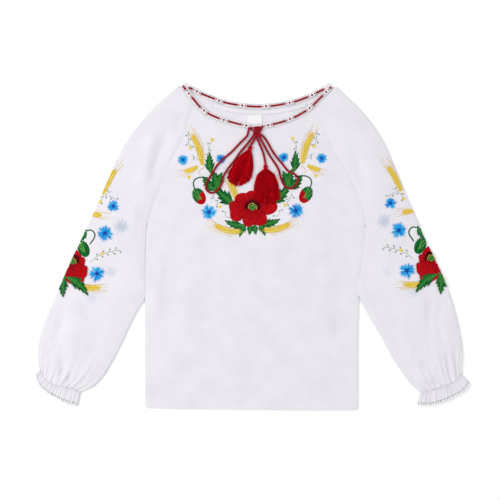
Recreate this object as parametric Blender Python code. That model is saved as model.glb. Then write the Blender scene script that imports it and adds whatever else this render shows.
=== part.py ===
"""A child's white cotton vyshyvanka blouse, laid flat with its front up.

Sizes are in millimetres until a point becomes a vertex. +X is to the right of the laid blouse,
+Y is towards its neck and +Z is up from the surface. The origin is on that surface, at the centre
of the blouse's width and height. Left and right are as seen from above.
"""

import math
import random
from collections import namedtuple

import bmesh
import bpy
import numpy as np

MM = 0.001

# Cloth and gaps
CLOTH = 1.1            # wall of every panel
LAYER_GAP = 0.5        # between the back layer and the front layer
SEAM_GAP = 0.3         # between two pieces that are sewn together
FRONT_Z = CLOTH + LAYER_GAP
FRONT_TOP = FRONT_Z + CLOTH
HEM_THICKER = 0.5      # what the turned-up hem adds
FOLD_INSET = 1.0       # how far a folded edge's flat layers stay inside its outline

# Lattice counts
PANEL_COLUMNS = 26
SLEEVE_TOP_COLUMNS = 15
SLEEVE_BACK_COLUMNS = 6

# Neck
LACE_WIDTH = 10.0
FACING_WIDTH = 8.0
FACING_SPAN = (0.12, 0.9)     # share of the back panel's neck edge
LABEL_LEFT, LABEL_RIGHT = -9.4, 15.8
NECK_CORNER_SHARE = 0.12      # the lace starts this far along a sleeve's neck edge

# Cord and tassels
CORD_RADIUS = 1.5
CORD_STEP = 8.0
NECK_CORD_STEP = 13.0
CORD_CLEARANCE = 0.6
CORD_Z = FRONT_TOP + CORD_CLEARANCE + CORD_RADIUS
KNOT_CENTRE = (7.1, 188.4)
KNOT_HALF = (5.2, 7.6, 3.4)
TASSEL_HEAD = 6.6
TASSEL_HEAD_WIDE, TASSEL_HEAD_HIGH = 7.2, 5.4
TASSEL_HEAD_RINGS = ((-1.2, 6.2, 5.0), (-3.4, 7.6, 6.0), (-5.4, 6.4, 5.2),
                     (-TASSEL_HEAD, 3.6, 3.4))    # along, wide, high
STRANDS_ACROSS, STRANDS_HIGH = 14, 3
STRAND_WIDE, STRAND_HIGH = 1.5, 1.1
STRAND_LAYER = 1.5
STRAND_ROOT = 0.72            # a root's share of its cell on the head

# Cuff frills
FRILL_WAVES = 12
FRILL_WALL = 1.6
FRILL_WAVE_HEIGHT = 2.0
FRILL_BACK_COLUMNS = 8
CUFF_LACE_DEPTH = 5.0
CUFF_GAP = 0.7                # along the frill's depth, which isn't square to the gathering line

# One section of a sleeve, from the cuff up to the neck. outer is on the outer fold, front and
# back are on the inner edge: the underarm seam's side up to the underarm, then the raglan seams.
Section = namedtuple("Section", "outer front back bend crown")
UNDERARM = 10
LEFT_SLEEVE = [Section(*row) for row in (
    ((-352.3, -203.8), (-284.6, -240.9), (-284.6, -240.9), 1.0, 1.5),
    ((-354.6, -185.6), (-267.5, -233.8), (-267.5, -233.8), 0.7, 3.5),
    ((-354.6, -165.8), (-251.6, -220.5), (-251.6, -220.5), 0.4, 4.5),
    ((-349.8, -142.7), (-235.9, -197.2), (-235.9, -197.2), 0.2, 4.5),
    ((-339.9, -114.7), (-221.1, -169.1), (-221.1, -169.1), 0.0, 4.0),
    ((-328.3, -88.3), (-206.6, -138.4), (-206.6, -138.4), 0.0, 3.8),
    ((-315.1, -56.9), (-192.2, -109.1), (-192.2, -109.1), 0.0, 3.6),
    ((-300.8, -23.9), (-177.7, -84.1), (-177.7, -84.1), 0.0, 3.4),
    ((-286.6, 5.8), (-177.4, -42.1), (-177.4, -42.1), 0.0, 3.2),
    ((-271.4, 38.8), (-176.7, -2.5), (-176.7, -2.5), 0.0, 3.2),
    ((-256.6, 71.8), (-174.1, 37.1), (-174.1, 37.1), 0.0, 3.2),
    ((-241.7, 104.8), (-164.2, 70.1), (-163.3, 69.3), 0.0, 3.2),
    ((-226.9, 138.6), (-149.3, 109.7), (-150.2, 104.8), 0.0, 3.0),
    ((-209.5, 172.4), (-136.9, 140.2), (-136.9, 137.8), 0.0, 2.8),
    ((-188.1, 202.1), (-122.1, 165.0), (-122.9, 167.5), 0.0, 2.4),
    ((-165.0, 228.5), (-112.2, 190.6), (-109.7, 197.2), 0.0, 1.8),
    ((-142.7, 249.1), (-104.5, 214.6), (-97.3, 225.2), 0.0, 1.0),
    ((-122.6, 266.1), (-98.2, 235.9), (-86.6, 248.0), 0.0, 0.0),
)]
RIGHT_SLEEVE = [Section(*row) for row in (
    ((346.2, -211.2), (278.9, -241.4), (278.9, -241.4), 1.0, 1.5),
    ((347.3, -191.4), (264.2, -229.0), (264.2, -229.0), 0.7, 3.5),
    ((347.7, -170.8), (249.1, -209.5), (249.1, -209.5), 0.4, 4.5),
    ((343.7, -142.7), (231.0, -181.5), (231.0, -181.5), 0.2, 4.5),
    ((335.8, -108.1), (214.5, -151.0), (214.5, -151.0), 0.0, 4.0),
    ((325.0, -73.4), (198.5, -123.8), (198.5, -123.8), 0.0, 3.8),
    ((310.2, -37.1), (185.6, -100.3), (185.6, -100.3), 0.0, 3.6),
    ((298.6, -12.4), (176.1, -81.0), (176.1, -81.0), 0.0, 3.4),
    ((286.3, 12.4), (177.9, -42.1), (177.9, -42.1), 0.0, 3.2),
    ((273.1, 43.7), (183.3, -2.5), (183.3, -2.5), 0.0, 3.2),
    ((258.7, 75.9), (186.6, 33.8), (186.6, 33.8), 0.0, 3.2),
    ((245.5, 108.1), (181.5, 67.6), (181.5, 67.6), 0.0, 3.2),
    ((231.8, 140.2), (169.1, 98.2), (169.1, 96.5), 0.0, 3.0),
    ((217.0, 173.2), (152.8, 129.0), (155.1, 124.6), 0.0, 2.8),
    ((198.8, 202.1), (136.0, 155.9), (141.1, 155.9), 0.0, 2.4),
    ((177.4, 227.7), (122.8, 185.3), (127.9, 188.9), 0.0, 1.8),
    ((157.6, 247.0), (111.5, 209.8), (116.3, 220.3), 0.0, 1.0),
    ((138.4, 264.8), (102.3, 228.5), (105.6, 248.3), 0.0, 0.0),
)]

# One row of the body below the sleeves, from the hem up
BodyRow = namedtuple("BodyRow", "left right hem")
BODY_ROWS = [BodyRow(*row) for row in (
    ((-174.8, -267.0), (172.0, -270.6), True),
    ((-176.8, -263.0), (173.6, -266.0), True),
    ((-177.2, -254.4), (173.9, -256.6), True),
    ((-177.3, -252.6), (174.0, -254.8), False),
    ((-177.4, -220.3), (174.1, -220.3), False),
    ((-177.4, -174.1), (174.1, -174.1), False),
    ((-177.4, -129.5), (174.6, -129.5), False),
)]
BODY_JOIN = 7                 # the first sleeve section that lies along the body's side
# How much of the neck's dip each row from BODY_JOIN up takes
FRONT_DIP = (0.0, 0.0, 0.02, 0.06, 0.12, 0.22, 0.34, 0.49, 0.67, 0.86, 1.0)
BACK_DIP = (0.0, 0.0, 0.0, 0.0, 0.05, 0.1, 0.2, 0.35, 0.55, 0.8, 1.0)
BODY_CROWN = 1.4              # in the skirt of the body, fading out towards the bow
CROWN_FADES = (-20.0, 60.0)

# Neck edges of the front and back panels, from one raglan seam to the other
FRONT_NECK = ((-98.2, 235.9), (-91.0, 227.6), (-78.4, 216.8), (-57.8, 207.2), (-38.0, 201.2),
              (-19.6, 196.6), (5.8, 192.4), (33.3, 196.7), (55.3, 202.6), (72.5, 209.6),
              (90.8, 219.8), (102.3, 228.5))
BACK_NECK = ((-86.6, 248.0), (-66.2, 240.1), (-49.5, 234.0), (-26.1, 229.3), (3.0, 226.4),
             (31.3, 227.5), (54.9, 231.3), (74.0, 235.6), (94.9, 243.4), (105.6, 248.3))

# A cuff: its gathering line and the frill's free edge, from the outer fold to the inner edge
CuffStation = namedtuple("CuffStation", "gather edge")
LEFT_CUFF = [CuffStation(*row) for row in (
    ((-352.3, -203.8), (-359.6, -212.0)),
    ((-344.8, -217.8), (-353.1, -230.2)),
    ((-330.8, -226.9), (-337.8, -243.9)),
    ((-314.3, -231.8), (-322.6, -252.9)),
    ((-297.8, -235.1), (-306.9, -260.7)),
    ((-284.6, -240.9), (-289.6, -264.5)),
)]
RIGHT_CUFF = [CuffStation(*row) for row in (
    ((346.2, -211.2), (359.8, -226.0)),
    ((337.4, -221.1), (351.5, -238.4)),
    ((324.2, -227.7), (335.8, -248.3)),
    ((309.4, -232.7), (319.3, -256.2)),
    ((294.5, -238.4), (297.8, -262.8)),
    ((278.9, -241.4), (273.1, -262.8)),
)]

# Main folds. A ridge has a positive height and a trough a negative one.
Fold = namedtuple("Fold", "start middle end width height")
LEFT_SLEEVE_FOLDS = [Fold(*row) for row in (
    ((-314.3, -88.3), (-316.0, -126.2), (-329.2, -164.0), 9.0, -3.0),
    ((-303.0, -120.0), (-300.0, -160.0), (-298.0, -200.0), 11.0, 2.0),
    ((-311.0, -179.0), (-314.3, -198.8), (-317.6, -222.0), 6.0, -3.0),
    ((-292.9, -91.6), (-266.0, -118.0), (-218.6, -123.8), 10.0, -2.4),
    ((-292.9, -228.0), (-271.4, -222.9), (-256.6, -228.9), 6.0, -2.0),
    ((-135.0, 205.0), (-147.0, 160.0), (-163.0, 105.0), 11.0, -2.2),
    ((-198.8, 76.0), (-194.0, 55.0), (-190.6, 34.0), 8.0, 1.2),
)]
RIGHT_SLEEVE_FOLDS = [Fold(*row) for row in (
    ((296.2, -83.3), (292.9, -119.6), (291.2, -152.0), 8.0, -2.6),
    ((320.9, -82.0), (307.0, -122.0), (320.9, -180.0), 9.0, -2.6),
    ((320.9, -176.0), (326.0, -207.1), (329.2, -222.0), 6.0, -3.2),
    ((274.0, -195.2), (291.2, -201.1), (306.4, -215.7), 8.0, -2.6),
    ((264.0, -200.0), (276.0, -213.0), (290.0, -226.0), 9.0, 1.6),
    ((229.3, -129.5), (240.0, -124.0), (252.0, -117.0), 8.0, -1.6),
    ((158.0, 190.0), (176.0, 135.0), (189.0, 80.0), 11.0, -2.2),
)]
FRONT_FOLDS = [Fold(*row) for row in (
    ((-124.6, 14.0), (-137.8, -85.0), (-160.0, -210.0), 15.0, -1.6),
    ((-150.0, 20.0), (-158.0, -60.0), (-166.0, -140.0), 12.0, 1.4),
    ((132.8, 40.0), (146.0, -65.2), (149.3, -160.0), 15.0, -1.6),
    ((112.0, 10.0), (120.0, -80.0), (118.0, -190.0), 16.0, 1.4),
    ((15.7, 2.0), (48.0, -38.0), (84.0, -82.0), 13.0, 1.2),
)]
FOLD_FADE = 0.3               # share of a fold's length over which it runs out
CUFF_GATHERS = (1.6, 1.1, 0.6)    # height of the gathers in a sleeve's first sections

# Routes of the drawstring where it leaves the neck lace, chosen along the bow (x, y, z)
LOOP_LEFT = (
    (-4.9, 198.0, CORD_Z), (-5.9, 194.6, CORD_Z), (-7.2, 189.0, CORD_Z), (-8.3, 184.2, CORD_Z),
    (-12.5, 179.0, CORD_Z), (-22.1, 169.6, CORD_Z), (-33.8, 157.2, CORD_Z), (-47.7, 145.2, CORD_Z),
    (-57.1, 135.8, CORD_Z), (-62.4, 128.4, CORD_Z), (-66.7, 120.9, CORD_Z), (-72.9, 110.5, CORD_Z),
    (-76.6, 101.0, CORD_Z), (-76.2, 94.5, CORD_Z), (-70.8, 89.6, CORD_Z), (-63.5, 89.4, CORD_Z),
    (-54.0, 97.9, CORD_Z), (-49.8, 108.4, CORD_Z), (-47.7, 116.8, CORD_Z), (-41.4, 127.4, CORD_Z),
    (-27.7, 145.2, CORD_Z), (-20.8, 155.3, CORD_Z), (-11.2, 166.8, CORD_Z), (-3.3, 176.6, 5.4),
    (0.6, 182.0, 6.0),
)
LOOP_RIGHT = (
    (12.8, 192.6, 6.0), (16.8, 184.6, 5.2), (20.3, 179.2, CORD_Z), (26.4, 169.6, CORD_Z),
    (32.3, 158.9, CORD_Z), (39.6, 148.3, CORD_Z), (49.2, 136.8, CORD_Z), (57.6, 126.2, CORD_Z),
    (64.8, 122.1, CORD_Z), (71.3, 117.8, CORD_Z), (75.4, 112.5, CORD_Z), (72.3, 106.3, CORD_Z),
    (68.1, 98.8, CORD_Z), (61.7, 95.7, CORD_Z), (54.5, 98.8, CORD_Z), (49.2, 107.3, CORD_Z),
    (46.0, 116.8, CORD_Z), (42.7, 128.4, CORD_Z), (35.5, 139.9, CORD_Z), (28.5, 150.5, CORD_Z),
    (23.1, 160.1, CORD_Z), (18.3, 169.0, CORD_Z), (14.2, 176.4, 5.2), (11.8, 181.0, 5.8),
)
TAIL_LEFT = ((4.6, 179.7, 5.6), (2.4, 175.6, 5.2), (-0.2, 171.2, 5.2), (-2.5, 167.4, 5.4))
TAIL_RIGHT = ((8.4, 179.8, 5.6), (9.4, 176.4, CORD_Z), (12.0, 168.3, CORD_Z),
              (15.5, 160.7, CORD_Z), (18.3, 152.6, CORD_Z), (20.2, 143.6, CORD_Z),
              (21.5, 135.9, 5.4))
EXIT_RIGHT = ((18.2, 199.4, CORD_Z), (15.4, 197.6, 5.0), (12.9, 195.6, 5.8))

# A tassel lies from its head along its direction and widens as this table says
TasselWidth = namedtuple("TasselWidth", "along left right")
TASSEL_WIDTHS = [TasselWidth(*row) for row in (
    (0.0, 7.0, 7.0), (9.0, 18.0, 29.0), (24.0, 31.0, 39.0), (64.0, 46.0, 46.0),
)]
Tassel = namedtuple("Tassel", "name head direction length widths")
TASSELS = (
    Tassel("tassel_left", (-4.8, 160.1), (-0.31, -0.95), 62.0, "left"),
    Tassel("tassel_right", (21.8, 128.7), (0.03, -1.0), 58.0, "right"),
)


def clear_scene():
    for item in list(bpy.data.objects):
        bpy.data.objects.remove(item, do_unlink=True)


def finish_material(name, colour, roughness):
    """One Principled BSDF in a flat colour."""
    material = bpy.data.materials.new(name)
    material.use_nodes = True
    shader = material.node_tree.nodes["Principled BSDF"]
    shader.inputs["Base Color"].default_value = (*colour, 1.0)
    shader.inputs["Roughness"].default_value = roughness
    shader.inputs["Metallic"].default_value = 0.0
    return material


def add_object(name, bm, material, collection):
    """Closes off a bmesh as an object whose faces point out."""
    bmesh.ops.recalc_face_normals(bm, faces=bm.faces)
    mesh = bpy.data.meshes.new(name)
    bm.to_mesh(mesh)
    bm.free()
    mesh.materials.append(material)
    mesh.shade_smooth()
    mesh.set_sharp_from_angle(angle=math.radians(40))
    made = bpy.data.objects.new(name, mesh)
    collection.objects.link(made)
    return made


def smooth_curve(points, samples_each=8):
    """A Catmull-Rom curve through the points, as an array."""
    p = np.array(points, float)
    p = np.vstack([2 * p[0] - p[1], p, 2 * p[-1] - p[-2]])
    found = []
    for i in range(1, len(p) - 2):
        for t in np.linspace(0, 1, samples_each, endpoint=False):
            found.append(0.5 * (2 * p[i] + (p[i + 1] - p[i - 1]) * t
                                + (2 * p[i - 1] - 5 * p[i] + 4 * p[i + 1] - p[i + 2]) * t ** 2
                                + (3 * p[i] - p[i - 1] - 3 * p[i + 1] + p[i + 2]) * t ** 3))
    found.append(p[-2])
    return np.array(found)


def along(curve, shares):
    """Points at the given shares of a curve's length."""
    steps = np.linalg.norm(np.diff(curve, axis=0), axis=1)
    run = np.concatenate([[0.0], np.cumsum(steps)])
    wanted = np.array(shares) * run[-1]
    return np.stack([np.interp(wanted, run, curve[:, k]) for k in range(curve.shape[1])], axis=1)


def evenly(curve, step):
    length = np.linalg.norm(np.diff(curve, axis=0), axis=1).sum()
    return along(curve, np.linspace(0, 1, max(2, round(length / step) + 1)))


def bent_row(start, end, edge, share, shares):
    """A straight row from start to end, with a share of the bend of the edge curve."""
    edge_points = along(edge, shares)
    s = np.array(shares)[:, None]
    chord = (1 - s) * edge[0] + s * edge[-1]
    return (1 - s) * np.array(start) + s * np.array(end) + share * (edge_points - chord)


def side_steps(curve, distance):
    """The curve moved to the left of its direction."""
    ahead = np.gradient(curve, axis=0)
    ahead /= np.linalg.norm(ahead, axis=1)[:, None]
    return curve + distance * np.stack([-ahead[:, 1], ahead[:, 0]], axis=1)


def fold_height(x, y, folds):
    """The sum of all folds at a place, each a bell across and faded at its ends."""
    total = 0.0
    for fold in folds:
        line = [np.array(p) for p in (fold.start, fold.middle, fold.end)]
        best, where = 1e9, 0.0
        for i in range(2):
            run = line[i + 1] - line[i]
            t = float(np.clip(np.dot((x, y) - line[i], run) / np.dot(run, run), 0, 1))
            gap = np.linalg.norm((x, y) - line[i] - t * run)
            if gap < best:
                best, where = gap, (i + t) / 2
        fade = min(1.0, where / FOLD_FADE, (1 - where) / FOLD_FADE)
        total += fold.height * max(0.0, fade) * math.exp(-(best / fold.width) ** 2)
    return total


def grid_vertices(bm, rows, heights):
    return [[bm.verts.new((x * MM, y * MM, z * MM)) for (x, y), z in zip(row, zs)]
            for row, zs in zip(rows, heights)]


def slab(name, rows, low, high, material, collection):
    """A panel between a lower and an upper height at every lattice point."""
    bm = bmesh.new()
    bottom = grid_vertices(bm, rows, low)
    top = grid_vertices(bm, rows, high)
    last_row, last_column = len(rows) - 1, len(rows[0]) - 1
    for j in range(last_row):
        for i in range(last_column):
            for sheet in (bottom, top):
                bm.faces.new((sheet[j][i], sheet[j][i + 1], sheet[j + 1][i + 1], sheet[j + 1][i]))
        for i in (0, last_column):
            bm.faces.new((bottom[j][i], bottom[j + 1][i], top[j + 1][i], top[j][i]))
    for i in range(last_column):
        for j in (0, last_row):
            bm.faces.new((bottom[j][i], bottom[j][i + 1], top[j][i + 1], top[j][i]))
    return add_object(name, bm, material, collection)


def body_lattice(sleeve_left, sleeve_right, side, neck, dips, columns):
    """Rows of a body panel, from the hem to the neck edge."""
    shares = np.linspace(0, 1, columns + 1)
    neck_curve = smooth_curve(neck)
    rows = [bent_row(row.left, row.right, neck_curve, 0.0, shares) for row in BODY_ROWS]
    joined = zip(sleeve_left[BODY_JOIN:], sleeve_right[BODY_JOIN:], dips)
    for left, right, dip in joined:
        rows.append(bent_row(getattr(left, side), getattr(right, side), neck_curve, dip, shares))
    return rows


def front_panel(material, collection):
    rows = body_lattice(LEFT_SLEEVE, RIGHT_SLEEVE, "front", FRONT_NECK, FRONT_DIP, PANEL_COLUMNS)
    low, high = [], []
    for j, row in enumerate(rows):
        share = np.linspace(0, 1, len(row))
        zs = []
        for s, (x, y) in zip(share, row):
            fade = np.clip((CROWN_FADES[1] - y) / (CROWN_FADES[1] - CROWN_FADES[0]), 0, 1)
            crown = BODY_CROWN * fade * min(1.0, 6 * s * (1 - s))
            zs.append(FRONT_Z + max(0.0, crown + fold_height(x, y, FRONT_FOLDS)))
        low.append(zs)
        hem = HEM_THICKER if j < len(BODY_ROWS) and BODY_ROWS[j].hem else 0.0
        high.append([z + CLOTH + hem for z in zs])
    return rows, slab("front_panel", rows, low, high, material, collection)


def back_panel(material, collection):
    rows = body_lattice(LEFT_SLEEVE, RIGHT_SLEEVE, "back", BACK_NECK, BACK_DIP, PANEL_COLUMNS - 8)
    low = [[0.0] * len(row) for row in rows]
    high = [[CLOTH] * len(row) for row in rows]
    return rows, slab("back_panel", rows, low, high, material, collection)


def sleeve_row(section, side, gather_curve, shares):
    """Plan points from the outer fold (share 0) to just short of the seam (share 1)."""
    outer, inner = np.array(section.outer), np.array(getattr(section, side))
    inner = inner + SEAM_GAP * (outer - inner) / np.linalg.norm(outer - inner)
    return bent_row(outer, inner, gather_curve, section.bend, shares)


def sleeve_ring(section, index, gather_curve, folds):
    """Outer and inner points of one section, from the back's seam round the outer fold to the
    front's seam. A closed section ends with the point that closes it at the underarm edge."""
    closed = index <= UNDERARM
    width = np.linalg.norm(np.array(section.outer) - np.array(section.front))
    inset = FOLD_INSET / width
    wall = (FOLD_INSET + CLOTH) / width
    crown = section.crown

    def top(share, x, y):
        gather = 0.0
        if index < len(CUFF_GATHERS):
            gather = CUFF_GATHERS[index] * (0.5 + 0.5 * math.cos(share * math.pi
                                                                 * SLEEVE_TOP_COLUMNS))
        swell = crown * math.sin(math.pi * min(1.0, max(0.0, share))) ** 0.8
        return FRONT_Z + max(0.0, swell + gather + fold_height(x, y, folds))

    outside, inside = [], []
    seam_end = inset if closed else 0.0
    inside_end = wall if closed else 0.0
    for low in (True, False):
        side = "back" if low else "front"
        count = SLEEVE_BACK_COLUMNS if low else SLEEVE_TOP_COLUMNS
        shares = np.linspace(inset, 1 - seam_end, count)
        inner_shares = np.linspace(wall, 1 - inside_end, count)
        if low:
            shares, inner_shares = shares[::-1], inner_shares[::-1]
        outer_row = sleeve_row(section, side, gather_curve, shares)
        inner_row = sleeve_row(section, side, gather_curve, inner_shares)
        for share, (x, y), (u, v) in zip(shares, outer_row, inner_row):
            height = top(share, x, y)
            outside.append((x, y, 0.0 if low else height + CLOTH))
            inside.append((u, v, CLOTH if low else height))
        if low:
            x, y = sleeve_row(section, side, gather_curve, [0.0])[0]
            u, v = sleeve_row(section, side, gather_curve, [wall - inset / 2])[0]
            outside.append((x, y, FRONT_TOP / 2))
            inside.append((u, v, FRONT_TOP / 2))
    if closed:
        x, y = sleeve_row(section, "front", gather_curve, [1.0])[0]
        u, v = sleeve_row(section, "front", gather_curve, [1 - wall + inset / 2])[0]
        outside.append((x, y, FRONT_TOP / 2))
        inside.append((u, v, FRONT_TOP / 2))
    return outside, inside


def sleeve(name, sections, cuff, folds, material, collection):
    """A flattened tube up to the underarm, and a folded sheet between the raglan seams above."""
    gather_curve = smooth_curve([station.gather for station in cuff])
    bm = bmesh.new()
    skins = ([], [])
    for index, section in enumerate(sections):
        for skin, ring in zip(skins, sleeve_ring(section, index, gather_curve, folds)):
            skin.append([bm.verts.new((x * MM, y * MM, z * MM)) for x, y, z in ring])
    outside, inside = skins
    strip = SLEEVE_BACK_COLUMNS + 1 + SLEEVE_TOP_COLUMNS
    last = len(sections) - 1
    for j in range(last):
        for skin in skins:
            a, b = skin[j], skin[j + 1]
            for k in range(strip - 1):
                bm.faces.new((a[k], a[k + 1], b[k + 1], b[k]))
            if j + 1 <= UNDERARM:
                bm.faces.new((a[strip - 1], a[strip], b[strip], b[strip - 1]))
                bm.faces.new((a[strip], a[0], b[0], b[strip]))
        if j + 1 > UNDERARM:
            for k in (0, strip - 1):
                bm.faces.new((outside[j][k], outside[j + 1][k], inside[j + 1][k], inside[j][k]))
    crotch = ((0, strip), (strip, strip - 1))
    for k, m in crotch:
        o, i = outside[UNDERARM], inside[UNDERARM]
        bm.faces.new((o[k], i[k], i[m], o[m]))
    for k in range(strip + 1):
        m = (k + 1) % (strip + 1)
        bm.faces.new((outside[0][k], outside[0][m], inside[0][m], inside[0][k]))
    for k in range(strip - 1):
        bm.faces.new((outside[last][k], outside[last][k + 1],
                      inside[last][k + 1], inside[last][k]))
    return add_object(name, bm, material, collection)


def frill_rings(cuff, starts, ends, rises):
    """Rings of a gathered frill at some shares of its depth. rises are the wave heights there."""
    gather = smooth_curve([station.gather for station in cuff])
    edge = smooth_curve([station.edge for station in cuff])
    columns = FRILL_WAVES * 4
    inset = 0.02
    rings = []
    for (shift, share), rise in zip(zip(starts, ends), rises):
        def place(s):
            a, b = along(gather, [s])[0], along(edge, [s])[0]
            depth = np.linalg.norm(b - a)
            return a + (b - a) * ((share * depth + shift) / depth)
        outside, inside = [], []
        for s in np.linspace(1 - inset, inset, FRILL_BACK_COLUMNS):
            outside.append((*place(s), 0.0))
        for s in np.linspace(1 - 2 * inset, 2 * inset, FRILL_BACK_COLUMNS):
            inside.append((*place(s), CLOTH))
        outside.append((*place(0.0), FRONT_TOP / 2))
        inside.append((*place(1.5 * inset), FRONT_TOP / 2))
        for k in range(columns + 1):
            s = inset + (1 - 2 * inset) * k / columns
            t = 2 * inset + (1 - 4 * inset) * k / columns
            wave = rise * (0.5 - 0.5 * math.cos(2 * math.pi * FRILL_WAVES * k / columns))
            outside.append((*place(s), FRONT_Z + FRILL_WALL + wave))
            inside.append((*place(t), FRONT_Z + wave))
        outside.append((*place(1.0), FRONT_TOP / 2))
        inside.append((*place(1 - 1.5 * inset), FRONT_TOP / 2))
        rings.append((outside, inside))
    return rings


def ring_wall(name, rings, material, collection):
    """A tube wall through rings, open at both ends."""
    bm = bmesh.new()
    skins = ([], [])
    for ring in rings:
        for skin, points in zip(skins, ring):
            skin.append([bm.verts.new((x * MM, y * MM, z * MM)) for x, y, z in points])
    count, last = len(rings[0][0]), len(rings) - 1
    for k in range(count):
        m = (k + 1) % count
        for j in range(last):
            for skin in skins:
                bm.faces.new((skin[j][k], skin[j][m], skin[j + 1][m], skin[j + 1][k]))
        for j in (0, last):
            outside, inside = skins[0][j], skins[1][j]
            bm.faces.new((outside[k], outside[m], inside[m], inside[k]))
    return add_object(name, bm, material, collection)


def cuff_pieces(side, cuff, cloth, lace, collection):
    """The gathered frill and the narrow lace along its edge."""
    depth = np.mean([np.linalg.norm(np.subtract(s.edge, s.gather)) for s in cuff])
    join = 1 - CUFF_LACE_DEPTH / depth
    frill = frill_rings(cuff, (CUFF_GAP, 0, -SEAM_GAP / 2), (0.0, 0.35, join),
                        (0.8 * FRILL_WAVE_HEIGHT, 0.5 * FRILL_WAVE_HEIGHT, FRILL_WAVE_HEIGHT))
    ring_wall("cuff_frill_" + side, frill, cloth, collection)
    edging = frill_rings(cuff, (SEAM_GAP / 2, 0), (join, 1.0),
                         (FRILL_WAVE_HEIGHT, FRILL_WAVE_HEIGHT))
    ring_wall("cuff_lace_" + side, edging, lace, collection)


def neck_edge(panel_row, side):
    """The cloth's neck edge from one folded corner to the other, left to right."""
    parts = []
    flat = np.zeros((2, 2))
    flat[1, 0] = 1.0
    for section, reverse in ((LEFT_SLEEVE[-1], False), (RIGHT_SLEEVE[-1], True)):
        shares = np.linspace(NECK_CORNER_SHARE, 1, 6)
        row = sleeve_row(section, side, flat, shares)
        parts.append(row[::-1] if reverse else row)
    return np.vstack([parts[0][:-1], panel_row, parts[1][1:]])


def neck_strip(name, edge, near, far, low, high, material, collection):
    """A flat strip beside an edge, between two distances from it."""
    rows = [side_steps(edge, near), side_steps(edge, far)]
    return slab(name, rows, [[low] * len(edge)] * 2, [[high] * len(edge)] * 2,
                material, collection)


def neck_label(edge, lace_edge, material, collection):
    """The bare label, from the facing's lower edge to just short of the front lace."""
    shares = np.linspace(LABEL_LEFT, LABEL_RIGHT, 5)
    top = side_steps(edge, -SEAM_GAP - FACING_WIDTH - SEAM_GAP)
    rows = [[(x, np.interp(x, lace_edge[:, 0], lace_edge[:, 1]) + SEAM_GAP) for x in shares],
            [(x, np.interp(x, top[:, 0], top[:, 1])) for x in shares]]
    z = CLOTH + SEAM_GAP
    return slab("neck_label", rows, [[z] * 5] * 2, [[z + 1.0] * 5] * 2, material, collection)


def cord(name, points, material, collection):
    """A round cord with filled ends, as a poly curve."""
    curve = bpy.data.curves.new(name, "CURVE")
    curve.dimensions = "3D"
    curve.bevel_depth = CORD_RADIUS * MM
    curve.bevel_resolution = 2
    curve.use_fill_caps = True
    spline = curve.splines.new("POLY")
    spline.points.add(len(points) - 1)
    for point, (x, y, z) in zip(spline.points, points):
        point.co = (x * MM, y * MM, z * MM, 1.0)
    curve.materials.append(material)
    made = bpy.data.objects.new(name, curve)
    collection.objects.link(made)
    return made


def neck_cords(front_edge, back_edge, material, collection):
    """The drawstring where the neck lace holds it: two runs in front and one behind."""
    def run(name, edge, z, first, last):
        line = smooth_curve(side_steps(edge, SEAM_GAP + LACE_WIDTH / 2), 3)
        line = line[(line[:, 0] >= first) & (line[:, 0] <= last)]
        points = [(x, y, z) for x, y in evenly(line, NECK_CORD_STEP)]
        cord(name, points, material, collection)
    front_z = FRONT_TOP + SEAM_GAP + CORD_RADIUS
    back_z = CLOTH + SEAM_GAP + CORD_RADIUS
    run("cord_neck_front_left", front_edge, front_z, -114.0, -7.6)
    run("cord_neck_front_right", front_edge, front_z, 20.6, 128.0)
    run("cord_neck_back", back_edge, back_z, -95.0, 112.0)


def bow(material, collection):
    """The bow's knot, loops and ends."""
    routes = {"cord_loop_left": LOOP_LEFT, "cord_loop_right": LOOP_RIGHT,
              "cord_tail_left": TAIL_LEFT, "cord_tail_right": TAIL_RIGHT,
              "cord_exit_right": EXIT_RIGHT}
    for name, route in routes.items():
        cord(name, evenly(smooth_curve(route), CORD_STEP), material, collection)
    bm = bmesh.new()
    bmesh.ops.create_uvsphere(bm, u_segments=12, v_segments=8, radius=MM)
    bmesh.ops.scale(bm, vec=KNOT_HALF, verts=bm.verts)
    z = FRONT_TOP + CORD_CLEARANCE + KNOT_HALF[2]
    bmesh.ops.translate(bm, vec=(KNOT_CENTRE[0] * MM, KNOT_CENTRE[1] * MM, z * MM),
                        verts=bm.verts)
    add_object("bow_knot", bm, material, collection)


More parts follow.
